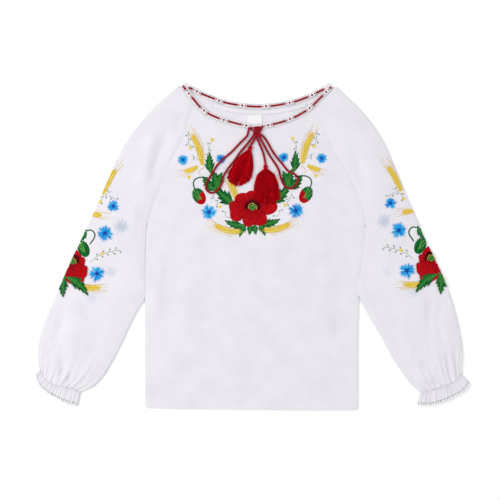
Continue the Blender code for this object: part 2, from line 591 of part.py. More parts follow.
def tassel(spec, material, collection):
    """A head whose lower face is a grid of cells, each drawn out into one strand."""
    rng = random.Random(spec.name)
    ahead = np.array((*spec.direction, 0.0))
    ahead /= np.linalg.norm(ahead)
    across = np.array((-ahead[1], ahead[0], 0.0))
    up = np.array((0.0, 0.0, 1.0))
    rest = FRONT_TOP + CORD_CLEARANCE
    centre_z = rest + STRANDS_HIGH * STRAND_LAYER / 2 + 0.3
    origin = np.array((*spec.head, centre_z))

    def at(distance, side, height):
        return (origin + distance * ahead + side * across + height * up) * MM

    bm = bmesh.new()
    nodes = []
    for r in range(STRANDS_HIGH + 1):
        height = (r / STRANDS_HIGH - 0.5) * TASSEL_HEAD_HIGH
        row = []
        for c in range(STRANDS_ACROSS + 1):
            side = (c / STRANDS_ACROSS - 0.5) * TASSEL_HEAD_WIDE
            row.append(bm.verts.new(at(0.0, side, height)))
        nodes.append(row)

    along_table = [row.along for row in TASSEL_WIDTHS]
    wide_table = [getattr(row, spec.widths) for row in TASSEL_WIDTHS]
    for r in range(STRANDS_HIGH):
        for c in range(STRANDS_ACROSS):
            corners = [nodes[r][c], nodes[r][c + 1], nodes[r + 1][c + 1], nodes[r + 1][c]]
            strand(bm, corners, r, c, at, rng, spec.length, along_table, wide_table,
                   rest - centre_z)

    ring = (nodes[0][:-1] + [row[-1] for row in nodes[:-1]] + nodes[-1][:0:-1]
            + [row[0] for row in nodes[:0:-1]])
    for distance, wide, high in TASSEL_HEAD_RINGS:
        angles = [2 * math.pi * (k + 0.5 - STRANDS_ACROSS / 2) / len(ring) - math.pi / 2
                  for k in range(len(ring))]
        fresh = [bm.verts.new(at(distance, wide / 2 * math.cos(a), high / 2 * math.sin(a)))
                 for a in angles]
        for k in range(len(ring)):
            m = (k + 1) % len(ring)
            bm.faces.new((ring[k], ring[m], fresh[m], fresh[k]))
        ring = fresh
    bm.faces.new(ring)
    return add_object(spec.name, bm, material, collection)


def strand(bm, corners, r, c, at, rng, length, along_table, wide_table, floor):
    """One strand: its root is a smaller square in the cell, and three stretches follow."""
    middle = sum((v.co for v in corners), corners[0].co * 0) / 4
    ring = [bm.verts.new(middle + (v.co - middle) * STRAND_ROOT) for v in corners]
    for k in range(4):
        m = (k + 1) % 4
        bm.faces.new((corners[k], corners[m], ring[m], ring[k]))
    share = (c + 0.5) / STRANDS_ACROSS - 0.5
    end = length * (1 - 0.5 * abs(share) ** 2 - rng.uniform(0.0, 0.07))
    sway = rng.uniform(-0.35, 0.35)
    rest_height = floor + r * STRAND_LAYER + STRAND_HIGH / 2 + rng.uniform(0.0, 0.25)
    root_height = ((r + 0.5) / STRANDS_HIGH - 0.5) * TASSEL_HEAD_HIGH
    root_wide = TASSEL_HEAD_WIDE / STRANDS_ACROSS
    for distance, settle, thick in ((9.0, 0.35, 0.6), (24.0, 0.8, 0.95), (end, 1.0, 1.0)):
        side = share * np.interp(distance, along_table, wide_table) + sway * settle
        height = root_height * (1 - settle) + rest_height * settle
        half = np.array((max(root_wide, STRAND_WIDE * thick) / 2, STRAND_HIGH * thick / 2))
        half[0] = min(half[0], 0.38 * np.interp(distance, along_table, wide_table)
                      / STRANDS_ACROSS)
        fresh = [bm.verts.new(at(distance, side + u * half[0], height + w * half[1]))
                 for u, w in ((-1, -1), (1, -1), (1, 1), (-1, 1))]
        for k in range(4):
            m = (k + 1) % 4
            bm.faces.new((ring[k], ring[m], fresh[m], fresh[k]))
        ring = fresh
    bm.faces.new(ring)


def main():
    clear_scene()
    collection = bpy.data.collections.new("vyshyvanka_blouse")
    bpy.context.scene.collection.children.link(collection)
    cotton = finish_material("cotton_plain_weave", (0.83, 0.81, 0.85), 0.85)
    lace = finish_material("cotton_lace", (0.87, 0.86, 0.88), 0.8)
    satin = finish_material("woven_label", (0.86, 0.85, 0.87), 0.6)
    red = finish_material("twisted_red_cord", (0.36, 0.002, 0.008), 0.6)

    front_rows, _ = front_panel(cotton, collection)
    back_rows, _ = back_panel(cotton, collection)
    sleeve("sleeve_left", LEFT_SLEEVE, LEFT_CUFF, LEFT_SLEEVE_FOLDS, cotton, collection)
    sleeve("sleeve_right", RIGHT_SLEEVE, RIGHT_CUFF, RIGHT_SLEEVE_FOLDS, cotton, collection)
    cuff_pieces("left", LEFT_CUFF, cotton, lace, collection)
    cuff_pieces("right", RIGHT_CUFF, cotton, lace, collection)

    front_edge = neck_edge(front_rows[-1], "front")
    back_edge = neck_edge(back_rows[-1], "back")
    far = SEAM_GAP + LACE_WIDTH
    neck_strip("neck_lace_front", front_edge, SEAM_GAP, far, FRONT_Z, FRONT_TOP, lace, collection)
    neck_strip("neck_lace_back", back_edge, SEAM_GAP, far, 0.0, CLOTH, lace, collection)
    span = along(back_rows[-1], np.linspace(*FACING_SPAN, 19))
    facing_z = CLOTH + SEAM_GAP
    neck_strip("neck_facing", span, -SEAM_GAP - FACING_WIDTH, -SEAM_GAP, facing_z,
               facing_z + 1.0, cotton, collection)
    neck_label(span, side_steps(front_edge, far), satin, collection)

    neck_cords(front_edge, back_edge, red, collection)
    bow(red, collection)
    for spec in TASSELS:
        tassel(spec, red, collection)


main()
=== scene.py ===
"""Looks of a child's white cotton vyshyvanka blouse, laid flat with its front up.

Sizes are in millimetres until a point becomes a vertex. +X is to the right of the laid blouse,
+Y is towards its neck and +Z is up from the surface. Left and right are as seen from above.
"""

import math
from collections import namedtuple

import bmesh
import bpy
import numpy as np
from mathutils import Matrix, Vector
from mathutils.bvhtree import BVHTree


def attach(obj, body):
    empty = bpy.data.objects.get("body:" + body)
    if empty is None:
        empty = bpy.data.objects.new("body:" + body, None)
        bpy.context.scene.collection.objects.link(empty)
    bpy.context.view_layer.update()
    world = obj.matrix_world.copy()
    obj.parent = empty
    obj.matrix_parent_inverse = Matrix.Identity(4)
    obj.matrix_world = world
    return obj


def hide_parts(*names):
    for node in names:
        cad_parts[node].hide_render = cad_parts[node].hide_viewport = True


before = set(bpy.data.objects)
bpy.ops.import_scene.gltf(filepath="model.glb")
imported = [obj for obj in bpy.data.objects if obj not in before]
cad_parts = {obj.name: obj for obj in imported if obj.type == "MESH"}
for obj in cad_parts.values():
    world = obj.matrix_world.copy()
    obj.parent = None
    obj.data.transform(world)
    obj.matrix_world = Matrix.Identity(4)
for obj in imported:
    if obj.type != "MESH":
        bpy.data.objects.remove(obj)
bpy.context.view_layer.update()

bl_info = {
    "name": "Vyshyvanka blouse",
    "version": (1, 0, 0),
    "blender": (4, 5, 0),
    "location": "3D View > Sidebar > Blouse",
    "description": "Cloth, lace, drawstring, tassels and embroidery of a laid blouse",
    "category": "Add Mesh",
}

MM = 0.001
BODY = "root"
COTTON = "cotton_plain_weave_bleached"
LACE_THREAD = "cotton_lace_bleached"
CORD = "viscose_cord_twisted_red"
TASSEL_THREAD = "viscose_tassel_thread_red"
LABEL = "polyester_satin_label_woven"
EMBROIDERY = "viscose_embroidery_"


def table(kind, rows):
    """Rows of plain values as named tuples of one kind."""
    return [kind(*row) for row in rows]


def sleeve_section(outer, front, bend, crown, back=None):
    """One section of a sleeve. Where it gives no back of its own, that is the front's."""
    return Section(outer, front, bend, crown, back or front)


def laid(points):
    """Points of the drawstring. One without a height of its own lies on the cloth."""
    return [(*point, CORD_Z)[:3] for point in points]


# Cloth and gaps
CLOTH = 1.1
LAYER_GAP = 0.5
SEAM_GAP = 0.3
FRONT_Z = CLOTH + LAYER_GAP
FRONT_TOP = FRONT_Z + CLOTH
HEM_THICKER = 0.5
SEAM_ROLL, SEAM_ROLL_WIDTH = 0.9, 2.4
LEAST_GAP = 0.08
HIDDEN_LIFT = LAYER_GAP - 0.1
FOLD_RADIUS = FRONT_TOP / 2
LATTICE_STEP = 3.2

# Neck
LACE_WIDTH = 10.0
FACING_WIDTH = 8.0
FACING_SPAN = (0.12, 0.9)
LABEL_LEFT, LABEL_RIGHT = -9.4, 15.8
NECK_CORNER_SHARE = 0.12

# Cord and tassels
CORD_RADIUS = 1.5
LOOSER = 0.2                  # how far the cord's soft strands swell past its radius
CORD_Z = FRONT_TOP + 0.6 + CORD_RADIUS
KNOT_CENTRE = (7.1, 188.4)
KNOT_HALF = (5.2, 7.6, 3.4)
KNOT_TURNS = 3.6
KNOT_CORD_RADIUS = 1.35
CORD_STEP = 0.9
TASSEL_THREAD_RADIUS = 0.42
BINDING_TURNS = 5

# Cuff frills
FRILL_WAVES = 12
FRILL_WALL = 1.6
FRILL_WAVE_HEIGHT = 2.0
CUFF_LACE_DEPTH = 5.0

# One section of a sleeve, from the cuff up to the neck. outer is on the outer fold, front and
# back are on the inner edge: the underarm seam's side up to the underarm, then the raglan seams.
Section = namedtuple("Section", "outer front bend crown back")
UNDERARM = 10                 # the section at the underarm
LEFT_SLEEVE = table(sleeve_section, (
    ((-352.3, -203.8), (-284.6, -240.9), 1, 1.5),
    ((-354.6, -185.6), (-267.5, -233.8), 0.7, 3.5),
    ((-354.6, -165.8), (-251.6, -220.5), 0.4, 4.5),
    ((-349.8, -142.7), (-235.9, -197.2), 0.2, 4.5),
    ((-339.9, -114.7), (-221.1, -169.1), 0, 4),
    ((-328.3, -88.3), (-206.6, -138.4), 0, 3.8),
    ((-315.1, -56.9), (-192.2, -109.1), 0, 3.6),
    ((-300.8, -23.9), (-177.7, -84.1), 0, 3.4),
    ((-286.6, 5.8), (-177.4, -42.1), 0, 3.2),
    ((-271.4, 38.8), (-176.7, -2.5), 0, 3.2),
    ((-256.6, 71.8), (-174.1, 37.1), 0, 3.2),
    ((-241.7, 104.8), (-164.2, 70.1), 0, 3.2, (-163.3, 69.3)),
    ((-226.9, 138.6), (-149.3, 109.7), 0, 3, (-150.2, 104.8)),
    ((-209.5, 172.4), (-136.9, 140.2), 0, 2.8, (-136.9, 137.8)),
    ((-188.1, 202.1), (-122.1, 165), 0, 2.4, (-122.9, 167.5)),
    ((-165, 228.5), (-112.2, 190.6), 0, 1.8, (-109.7, 197.2)),
    ((-142.7, 249.1), (-104.5, 214.6), 0, 1, (-97.3, 225.2)),
    ((-122.6, 266.1), (-98.2, 235.9), 0, 0, (-86.6, 248)),
))
RIGHT_SLEEVE = table(sleeve_section, (
    ((346.2, -211.2), (278.9, -241.4), 1, 1.5),
    ((347.3, -191.4), (264.2, -229), 0.7, 3.5),
    ((347.7, -170.8), (249.1, -209.5), 0.4, 4.5),
    ((343.7, -142.7), (231, -181.5), 0.2, 4.5),
    ((335.8, -108.1), (214.5, -151), 0, 4),
    ((325, -73.4), (198.5, -123.8), 0, 3.8),
    ((310.2, -37.1), (185.6, -100.3), 0, 3.6),
    ((298.6, -12.4), (176.1, -81), 0, 3.4),
    ((286.3, 12.4), (177.9, -42.1), 0, 3.2),
    ((273.1, 43.7), (183.3, -2.5), 0, 3.2),
    ((258.7, 75.9), (186.6, 33.8), 0, 3.2),
    ((245.5, 108.1), (181.5, 67.6), 0, 3.2),
    ((231.8, 140.2), (169.1, 98.2), 0, 3, (169.1, 96.5)),
    ((217, 173.2), (152.8, 129), 0, 2.8, (155.1, 124.6)),
    ((198.8, 202.1), (136, 155.9), 0, 2.4, (141.1, 155.9)),
    ((177.4, 227.7), (122.8, 185.3), 0, 1.8, (127.9, 188.9)),
    ((157.6, 247), (111.5, 209.8), 0, 1, (116.3, 220.3)),
    ((138.4, 264.8), (102.3, 228.5), 0, 0, (105.6, 248.3)),
))

# One row of the body below the sleeves, from the hem up
BodyRow = namedtuple("BodyRow", "left right")
BODY_ROWS = table(BodyRow, (
    ((-174.8, -267), (172, -270.6)),
    ((-176.8, -263), (173.6, -266)),
    ((-177.2, -254.4), (173.9, -256.6)),
    ((-177.4, -220.3), (174.1, -220.3)),
    ((-177.4, -174.1), (174.1, -174.1)),
    ((-177.4, -129.5), (174.6, -129.5)),
))
HEM_LINE = BODY_ROWS[2]
BODY_JOIN = 7                 # the sleeve's section from which it shares the body's edge
FRONT_DIP = (0, 0, 0.02, 0.06, 0.12, 0.22, 0.34, 0.49, 0.67, 0.86, 1)
BACK_DIP = (0, 0, 0, 0, 0.05, 0.1, 0.2, 0.35, 0.55, 0.8, 1)
BODY_CROWN = 1.4
CROWN_FADES = (-20, 60)

# Neck edges of the front and back panels, from one raglan seam to the other
FRONT_NECK = ((-98.2, 235.9), (-91, 227.6), (-78.4, 216.8), (-57.8, 207.2), (-38, 201.2),
              (-19.6, 196.6), (5.8, 192.4), (33.3, 196.7), (55.3, 202.6), (72.5, 209.6),
              (90.8, 219.8), (102.3, 228.5))
BACK_NECK = ((-86.6, 248), (-66.2, 240.1), (-49.5, 234), (-26.1, 229.3), (3, 226.4),
             (31.3, 227.5), (54.9, 231.3), (74, 235.6), (94.9, 243.4), (105.6, 248.3))

# Each panel's side, neck edge and dips
FRONT = ("front", FRONT_NECK, FRONT_DIP)
BACK = ("back", BACK_NECK, BACK_DIP)

# A cuff: its gathering line and the frill's free edge, from the outer fold to the inner edge
CuffStation = namedtuple("CuffStation", "gather edge")
LEFT_CUFF = table(CuffStation, (
    ((-352.3, -203.8), (-359.6, -212)),
    ((-344.8, -217.8), (-353.1, -230.2)),
    ((-330.8, -226.9), (-337.8, -243.9)),
    ((-314.3, -231.8), (-322.6, -252.9)),
    ((-297.8, -235.1), (-306.9, -260.7)),
    ((-284.6, -240.9), (-289.6, -264.5)),
))
RIGHT_CUFF = table(CuffStation, (
    ((346.2, -211.2), (359.8, -226)),
    ((337.4, -221.1), (351.5, -238.4)),
    ((324.2, -227.7), (335.8, -248.3)),
    ((309.4, -232.7), (319.3, -256.2)),
    ((294.5, -238.4), (297.8, -262.8)),
    ((278.9, -241.4), (273.1, -262.8)),
))

# Creases. A ridge has a positive height and a trough a negative one.
Fold = namedtuple("Fold", "start middle end width height")
LEFT_SLEEVE_FOLDS = table(Fold, (
    ((-314.3, -88.3), (-316, -126.2), (-329.2, -164), 7, -3),
    ((-303, -120), (-300, -160), (-298, -200), 11, 2),
    ((-311, -179), (-314.3, -198.8), (-317.6, -222), 4.6, -3.8),
    ((-301.1, -206.4), (-303, -218), (-306.8, -231.5), 3.6, -3.6),
    ((-335.8, -165.8), (-335, -178), (-334.1, -190.6), 4.5, -2),
    ((-292.9, -91.6), (-266, -118), (-218.6, -123.8), 7, -2.4),
    ((-292.9, -228), (-271.4, -222.9), (-256.6, -228.9), 5, -2),
    ((-280, -205), (-262, -196), (-247, -203), 6, 1.2),
    ((-137, 205), (-149, 160), (-168, 95), 10, -3.2),
    ((-117.2, 221.9), (-121, 200), (-124.6, 177.4), 6, -1.4),
    ((-198.8, 76), (-194, 55), (-190.6, 34), 8, 1.2),
    ((-250, 20), (-236, -30), (-226, -80), 10, -1),
    ((-160, 205), (-173, 150), (-189, 90), 11, 2.8),
))
RIGHT_SLEEVE_FOLDS = table(Fold, (
    ((296.2, -83.3), (292.9, -119.6), (291.2, -152), 6.5, -2.6),
    ((320.9, -82), (307, -122), (320.9, -180), 7, -2.6),
    ((320.9, -176), (324.6, -203), (330, -223), 3, -5),
    ((328, -172), (332, -198), (337, -219), 4, 1.7),
    ((334.1, -170.8), (335, -184), (335.8, -197.2), 4, -1.8),
    ((343, -187), (342.6, -198), (342.4, -209), 3.5, -1.4),
    ((274, -195.2), (291.2, -201.1), (306.4, -215.7), 5, -3.4),
    ((307.4, -212), (303, -224), (300, -235), 3.4, -3.2),
    ((264, -200), (276, -213), (290, -226), 8, 1.6),
    ((229.3, -129.5), (240, -124), (252, -117), 6, -1.6),
    ((240.1, -181), (251, -174), (260, -169), 5, -1.4),
    ((199, -105), (207, -100), (215, -97), 5, -1.2),
    ((158, 190), (176, 135), (189, 80), 9, -2.2),
    ((142.7, 250), (130, 238), (118, 225.2), 5, -1.2),
    ((245, 20), (238, -30), (236, -80), 10, -1),
    ((182, 190), (202, 150), (216, 95), 12, 0.9),
))
FRONT_FOLDS = table(Fold, (
    ((-124.6, 14), (-137.8, -85), (-160, -210), 14, -1.7),
    ((-150, 20), (-158, -60), (-166, -140), 11, 1.4),
    ((-104, -20), (-112, -110), (-128, -215), 16, 1),
    ((132.8, 140), (134, 20), (146, -65.2), 14, -1.5),
    ((146, -60), (150, -110), (138, -185), 13, -1.5),
    ((112, 10), (120, -80), (118, -190), 16, 1.4),
    ((15.7, 2), (48, -38), (84, -82), 12, 1.2),
    ((2, -30), (30, -70), (62, -120), 14, -0.8),
    ((-60, 30), (-70, -60), (-64, -150), 18, -0.8),
    ((-20, -90), (-28, -160), (-24, -235), 15, 0.8),
    ((60, -130), (66, -180), (58, -240), 12, -0.8),
    ((151.8, 203), (143, 185), (138.6, 169.1), 6, -1),
))
BACK_FOLDS = table(Fold, (
    ((-120, 40), (-132, -70), (-150, -200), 12, 0.4),
    ((-40, 60), (-52, -60), (-46, -190), 15, 0.35),
    ((30, 0), (56, -60), (88, -130), 11, 0.4),
    ((126, 30), (138, -70), (132, -180), 13, 0.35),
))
SLEEVE_BACK_FOLDS = table(Fold, (
    ((-310, -70), (-300, -120), (-308, -180), 9, 0.4),
    ((-240, 60), (-236, 0), (-222, -70), 10, 0.35),
    ((300, -60), (296, -120), (308, -180), 9, 0.4),
    ((232, 70), (236, 0), (226, -70), 10, 0.35),
))
FOLD_FADE = 0.34              # share of a fold's length over which it runs out

# Columns of a sleeve's rows, the angles round its folds, its puckers at the cuff, and how far its
# seam allowance reaches in
SLEEVE_TOP_COLUMNS = 64
SLEEVE_BACK_COLUMNS = 18
FOLD_ARC = (-60, -30, 0, 30, 60)
PUCKERS = 9
ALLOWANCE = 9.0

# What was cut, across and along, and the share of it that is left between its seams
BACK_CUT = (352, 515)
FRONT_CUT = (352, 500)
SLEEVE_CUT = (262, 520)
FRILL_CUT = (172, 20)

# Embroidery of the sleeve's back layer that shows through as a pale shade
GHOST_TINT = "#B9C3D4"
Ghost = namedtuple("Ghost", "centre radius strength")
LEFT_GHOSTS = table(Ghost, (
    ((-217, 33.2), 12.5, 1), ((-232.5, -42), 10, 0.5), ((-264.8, -85), 10, 0.4),
))
RIGHT_GHOSTS = table(Ghost, (
    ((217.6, 41.6), 13, 0.9), ((266, -75.1), 10, 0.4), ((222, -42), 9, 0.3),
))

# Runs of the drawstring in the neck lace, from one x to another
NeckCord = namedtuple("NeckCord", "node side first last")
NECK_CORDS = table(NeckCord, (
    ("cord_neck_front_left", "front", -121, -6.4),
    ("cord_neck_front_right", "front", 19.6, 132),
    ("cord_neck_back", "back", -107, 119),
))

# Thicknesses at the neck and of the cuffs' lace, which has a cell for each share of the cuff
FACING_THICKNESS, LABEL_THICKNESS = 0.9, 0.8
LACE_THICKNESS, BRIDGE_THICKNESS, CUFF_LACE_THICKNESS = 0.9, 0.6, 0.7
CUFF_LACE_CELLS = 24

# Beading lace: its eyelets and its bridges over the drawstring, and the first bridge's middle (x)
# and the bridges' step along the edge
EYELET_CORNERS = 16
LACE_CELL = 3.4
LACE_BAND = 3.1
BRIDGE_HALF = 7.4
BRIDGE_REACH = 3.5
RING_POINTS = 25
FRONT_DOTS = (-11.3, 38.7)
BACK_DOTS = (-17.6, 40.4)

# Routes of the drawstring outside the lace, from where it comes out of its slot, through the
# knot's turns and the bow's loop and back through the knot to its tail's end in the tassel
LEFT_ROUTE = laid((
    (-4.9, 198), (-5.9, 194.6), (-7.2, 189), (-8.3, 184.2), (-12.5, 179), (-22.1, 169.6),
    (-33.8, 157.2), (-47.7, 145.2), (-57.1, 135.8), (-62.4, 128.4), (-66.7, 120.9), (-72.9, 110.5),
    (-76.6, 101), (-76.2, 94.5), (-70.8, 89.6), (-63.5, 89.4), (-54, 97.9), (-49.8, 108.4),
    (-47.7, 116.8), (-41.4, 127.4), (-27.7, 145.2), (-20.8, 155.3), (-11.2, 166.8),
    (-3.3, 176.6, 5.4), (0.6, 182, 6), (4, 188, 6.6), (8.6, 191.8, 7),
    (12, 187.6, 7), (9.4, 182.4, 6.4), (4.6, 179.7, 5.6), (2.4, 175.6, 5.2),
    (-0.2, 171.2, 5.2), (-2.5, 167.4, 5.4), (-4.2, 162.2, 5.6), (-5.6, 157.8, 5.8),
))
RIGHT_ROUTE = laid((
    (18.2, 199.4), (15.4, 197.6, 5), (12.9, 195.6, 5.8), (8.4, 194.6, 6.6), (3.6, 192, 7),
    (3, 187, 7), (7, 183.8, 6.4), (12.2, 184.2, 5.8), (16.8, 183.2, 5.2), (20.9, 178.4),
    (26.4, 169.6), (32.3, 158.9), (39.6, 148.3), (49.2, 136.8), (57.6, 126.2), (64.8, 122.1),
    (71.6, 118.1), (75.3, 111.8), (73.4, 104.8), (68.6, 98.8), (61.7, 95.9), (54.5, 98.8),
    (49.2, 107.3), (46, 116.8), (42.7, 128.4), (35.5, 139.9), (28.5, 150.5), (23.1, 160.1),
    (18.3, 169), (14.2, 176.4, 5.2), (12.4, 181.6, 5.8), (11.8, 187.2, 6.6), (8, 191.4, 7.2),
    (3.6, 188.6, 7.2), (4.2, 183.4, 6.4), (7.2, 179.2, 5.6), (9.4, 175), (12, 168.3),
    (15.5, 160.7), (18.3, 152.6), (20.2, 143.6), (21.5, 135.9, 5.4), (21.8, 130.4, 5.6),
    (22, 126.2, 5.8),
))

# Strands over the knot to the lace's slots
KNOT_STRANDS = [laid(strand) for strand in (
    ((-3.6, 196.4), (0.5, 196.2, 6.2), (5, 194.8, 7.4), (9.4, 191.8, 7.6)),
    ((3, 196.6, 5.2), (8, 197.6, 6), (13, 197.4, 5.6), (17.4, 198.2)),
    ((-4.4, 194.4), (-0.6, 192.6, 5.6), (2.4, 189.4, 6.2), (4.4, 185, 6.2)),
    ((15.6, 195.2), (13.6, 191.8, 5.6), (11.6, 188, 6.2), (9.4, 183.6, 6.2)),
)]

# A tassel lies from its head along its direction and widens as this table says
TasselWidth = namedtuple("TasselWidth", "along left right")
TASSEL_WIDTHS = table(TasselWidth, (
    (0, 5.6, 5.6), (9, 17, 28), (24, 30, 38), (64, 46, 46),
))
Tassel = namedtuple("Tassel", "name head direction length widths slant")
TASSELS = (
    Tassel("tassel_left", (-4.8, 160.1), (-0.33, -0.94), 65, "left", 0.4),
    Tassel("tassel_right", (21.8, 128.7), (0.03, -1), 59, "right", 0),
)

# Embroidery threads, and how their stitches lie
THREADS = {
    "poppy_bright": "#BE0612", "poppy": "#AC0412", "poppy_deep": "#7E020C", "poppy_dark": "#4C040A",
    "black": "#221517",
    "blue": "#1BA4EA", "blue_light": "#45C0F8", "blue_mid": "#0F7CD4", "blue_deep": "#1646AE",
    "green_sprig": "#3F7F4A",
    "yellow": "#F0D23A", "straw": "#F6DE74", "ochre": "#DFAE2E", "orange": "#F0B266",
    "green": "#12702F", "green_dark": "#0A5226", "green_light": "#64A044",
    "green_mid": "#3F8F3C", "green_vein": "#7CC85A", "green_pale": "#6F9C68", "white": "#F4F2F6",
}
THREAD_NAMES = list(THREADS)
CORNFLOWER_RAYS, HEART_RAYS = 12, 16
HEART_STITCHES, HEART_RIM, STAMENS = 80, 24, 24
GRAIN_STEP, GRAIN_ANGLE = 4.4, 19.0
STITCH_WIDTH = 1.1
STITCH_HEIGHT = 0.34
STITCH_PITCH = 0.78

# Motifs of the front, drawn for its left half. The right half mirrors them a little higher.
Leaf = namedtuple("Leaf", "base tip width bend lift", defaults=(0,))
Ear = namedtuple("Ear", "base tip width awns bend")
Cornflower = namedtuple("Cornflower", "centre radius")
Petal = namedtuple("Petal", "heading spread length ruffle")
FRONT_EARS = table(Ear, (
    ((-83, 135), (-99, 184), 10.5, 15, -0.06),
    ((-91, 132.4), (-110, 124.6), 8.5, 13, 0.05),
    ((-25.5, 76), (-38, 108), 11.5, 15, -0.02),
    ((-18, 24.6), (-61, 34.5), 11.5, 15, 0.07),
))
FRONT_LEAVES = table(Leaf, (
    ((-67.5, 119), (-70.5, 156), 16.5, 0.06),
    ((-58, 92), (-82, 116.5), 17, 0.1),
    ((-58, 93), (-66, 126), 19, -0.05),
    ((-57, 93), (-50, 123), 17, 0.08),
    ((-28, 69), (-61, 98.5), 23, 0.06),
    ((-12, 35.5), (-46, 43.5), 15, 0.1),
))
FRONT_MIDDLE_LEAVES = table(Leaf, (
    ((-9, 39), (-21, 15.5), 13.5, -0.1),
    ((9, 39), (20.5, 17.5), 13.5, 0.1),
    ((-4, 38), (-5.5, 19), 12, 0.05),
    ((4, 38), (6, 19.5), 12, -0.05),
))
FRONT_CORNFLOWERS = table(Cornflower, (
    ((-72, 57), 12.6), ((-114.8, 143.6), 8.8), ((-51.8, 145.2), 8.2),
))
FRONT_LITTLE_FLOWERS = ((-66.6, 176.4), (-102.4, 163.6), (-104.8, 114.8), (-53.8, 66.2))
FRONT_SPRIGS = (
    ((-105.6, 190.6), (-106, 176), (-102.8, 165)),
    ((-99.8, 151), (-95, 148), (-90, 142.7)),
    ((-67.5, 174), (-73, 163), (-71.8, 154.3)),
    ((-65.2, 86), (-63, 78), (-57, 70)),
    ((-42, 58), (-46, 54), (-40, 47)),
)
FRONT_TENDRIL = ((-80.5, 131), (-86.5, 127), (-88.6, 121.9), (-84.6, 118.5))
FRONT_BUD = ((-88.3, 83), 28.5, 20, -60, 0.62,
             ((-70, 113), (-79, 114.8), (-89, 114.6), (-96.5, 110), (-98.4, 103),
              (-95.6, 94)))
FRONT_POPPY = (0, 64.5)
FRONT_PETALS = table(Petal, (
    (84, 52, 27, 0.4), (147, 44, 32, 1.9), (14, 42, 40, 3.4),
    (192, 34, 40, 5), (300, 36, 33, 0.9), (257, 36, 31.5, 2.6),
))

# A poppy petal's rows of stitches, from its heart out
PetalRow = namedtuple("PetalRow", "near far threads")
PETAL_ROWS = table(PetalRow, (
    (0.1, 0.5, ("poppy_deep", "poppy", "poppy")),
    (0.36, 0.8, ("poppy", "poppy", "poppy", "poppy_bright")),
    (0.66, 1, ("poppy", "poppy_bright", "poppy_bright")),
))

# Motifs of the left sleeve. The right sleeve mirrors them, shifted as its cut is.
SLEEVE_MIRROR_SHIFT = (-2, 5)
SLEEVE_EARS = table(Ear, (
    ((-248, 86.5), (-227.5, 126), 10.5, 17, 0.04),
    ((-271, 53.5), (-252, 51.5), 9, 13, 0.03),
    ((-287, -66.5), (-254, -68), 10.5, 14, -0.03),
))
SLEEVE_LEAVES = table(Leaf, (
    ((-310, -50), (-272, -81), 18, 0.1, 1.5),
    ((-311, -47), (-313, -84), 16.5, -0.05, 1.4),
    ((-316, -50), (-324, -72), 15, 0.05, 1.4),
    ((-275.5, 30.5), (-291, 5), 11, 0.1),
))
SLEEVE_CORNFLOWERS = table(Cornflower, (
    ((-230.2, 66.8), 9.6), ((-243.9, 21.8), 13.4), ((-257.1, -44.9), 13.4),
))
SLEEVE_LITTLE_FLOWERS = ((-252.6, 73.8), (-248.3, -11.4))
SLEEVE_SPRIGS = (
    ((-231.8, 91.6), (-243, 86), (-252, 75)),
    ((-268.1, -25.6), (-250, -13), (-217.3, -4.8)),
    ((-238, 84), (-232, 82), (-228, 78)),
)
SLEEVE_BUD = ((-279.5, -4), 28, 18.5, -66, 0.1,
              ((-277, 25), (-267, 26.8), (-261.3, 20.6), (-262.4, 13.9), (-269.5, 4)))
SLEEVE_POPPY = (-297.8, -25.2)
SLEEVE_PETALS = table(Petal, (
    (65, 42, 20, 0.4), (150, 50, 30, 1.9), (215, 40, 38, 3.4),
    (356, 34, 21.5, 5), (281, 32, 40.5, 0.9), (315, 30, 32, 2.6),
))

# The camera looks straight down from where a photographer would stand
PHOTO_FIELD = 828.0
PHOTO_CENTRE = (-4.1, -5.8)
LENS, SENSOR = 85.0, 36.0

# Soft lights, in metres and watts, and the room's own light
Light = namedtuple("Light", "name place size power")
LIGHTS = table(Light, (
    ("soft_key", (-1.8, 0.5, 1.9), 1.6, 37.0),
    ("soft_fill", (1.7, -0.6, 2.2), 2.0, 18.0),
))
SKY_STRENGTH = 0.62


def linear(hex_colour):
    """An sRGB hex colour as the linear one that Blender works in."""
    channels = [int(hex_colour[i:i + 2], 16) / 255 for i in (1, 3, 5)]
    return tuple(c / 12.92 if c <= 0.04045 else ((c + 0.055) / 1.055) ** 2.4 for c in channels)


def colour_property(name, description, hex_colour):
    return bpy.props.FloatVectorProperty(name=name, description=description, subtype="COLOR",
                                         size=3, min=0.0, max=1.0, default=linear(hex_colour))


class BlouseColours(bpy.types.PropertyGroup):
    """Colours of the cloth and the threads."""
    cotton: colour_property("Cotton", "Bleached cotton with a lavender cast", "#E6E3EA")
    # Painted shade: cotton_shade darkens the gaps between the weave's threads, and it is also the
    # tone of the cloth's faint cloudiness
    cotton_shade: colour_property("Cotton shade", "Cotton between its threads", "#DAD6E0")
    lace: colour_property("Lace", "Bleached cotton lace thread", "#F4F2F6")
    label: colour_property("Label", "Bare woven label", "#F0EFF2")
    cord: colour_property("Cord", "Dark red twisted cord", "#A6071C")
    cord_shade: colour_property("Cord shade", "Between the cord's strands", "#72030F")
    tassel: colour_property("Tassel", "Red tassel threads", "#D8081C")
    tassel_shade: colour_property("Tassel shade", "Darker tassel threads", "#9A0410")
    floor: colour_property("Floor", "Pale studio table", "#FBFBFC")


class BlouseSizes(bpy.types.PropertyGroup):
    """Sizes of what the construction leaves to the looks."""
    weave: bpy.props.FloatProperty(
        name="Weave", description="Spacing at which the plain weave is drawn",
        default=0.0011, min=0.0002, unit="LENGTH")
    twist: bpy.props.FloatProperty(
        name="Twist", description="Length of one full turn of the cord's strands",
        default=0.0085, min=0.002, unit="LENGTH")
    tassel_threads: bpy.props.IntProperty(
        name="Tassel threads", description="Threads in each tassel", default=340, min=40)


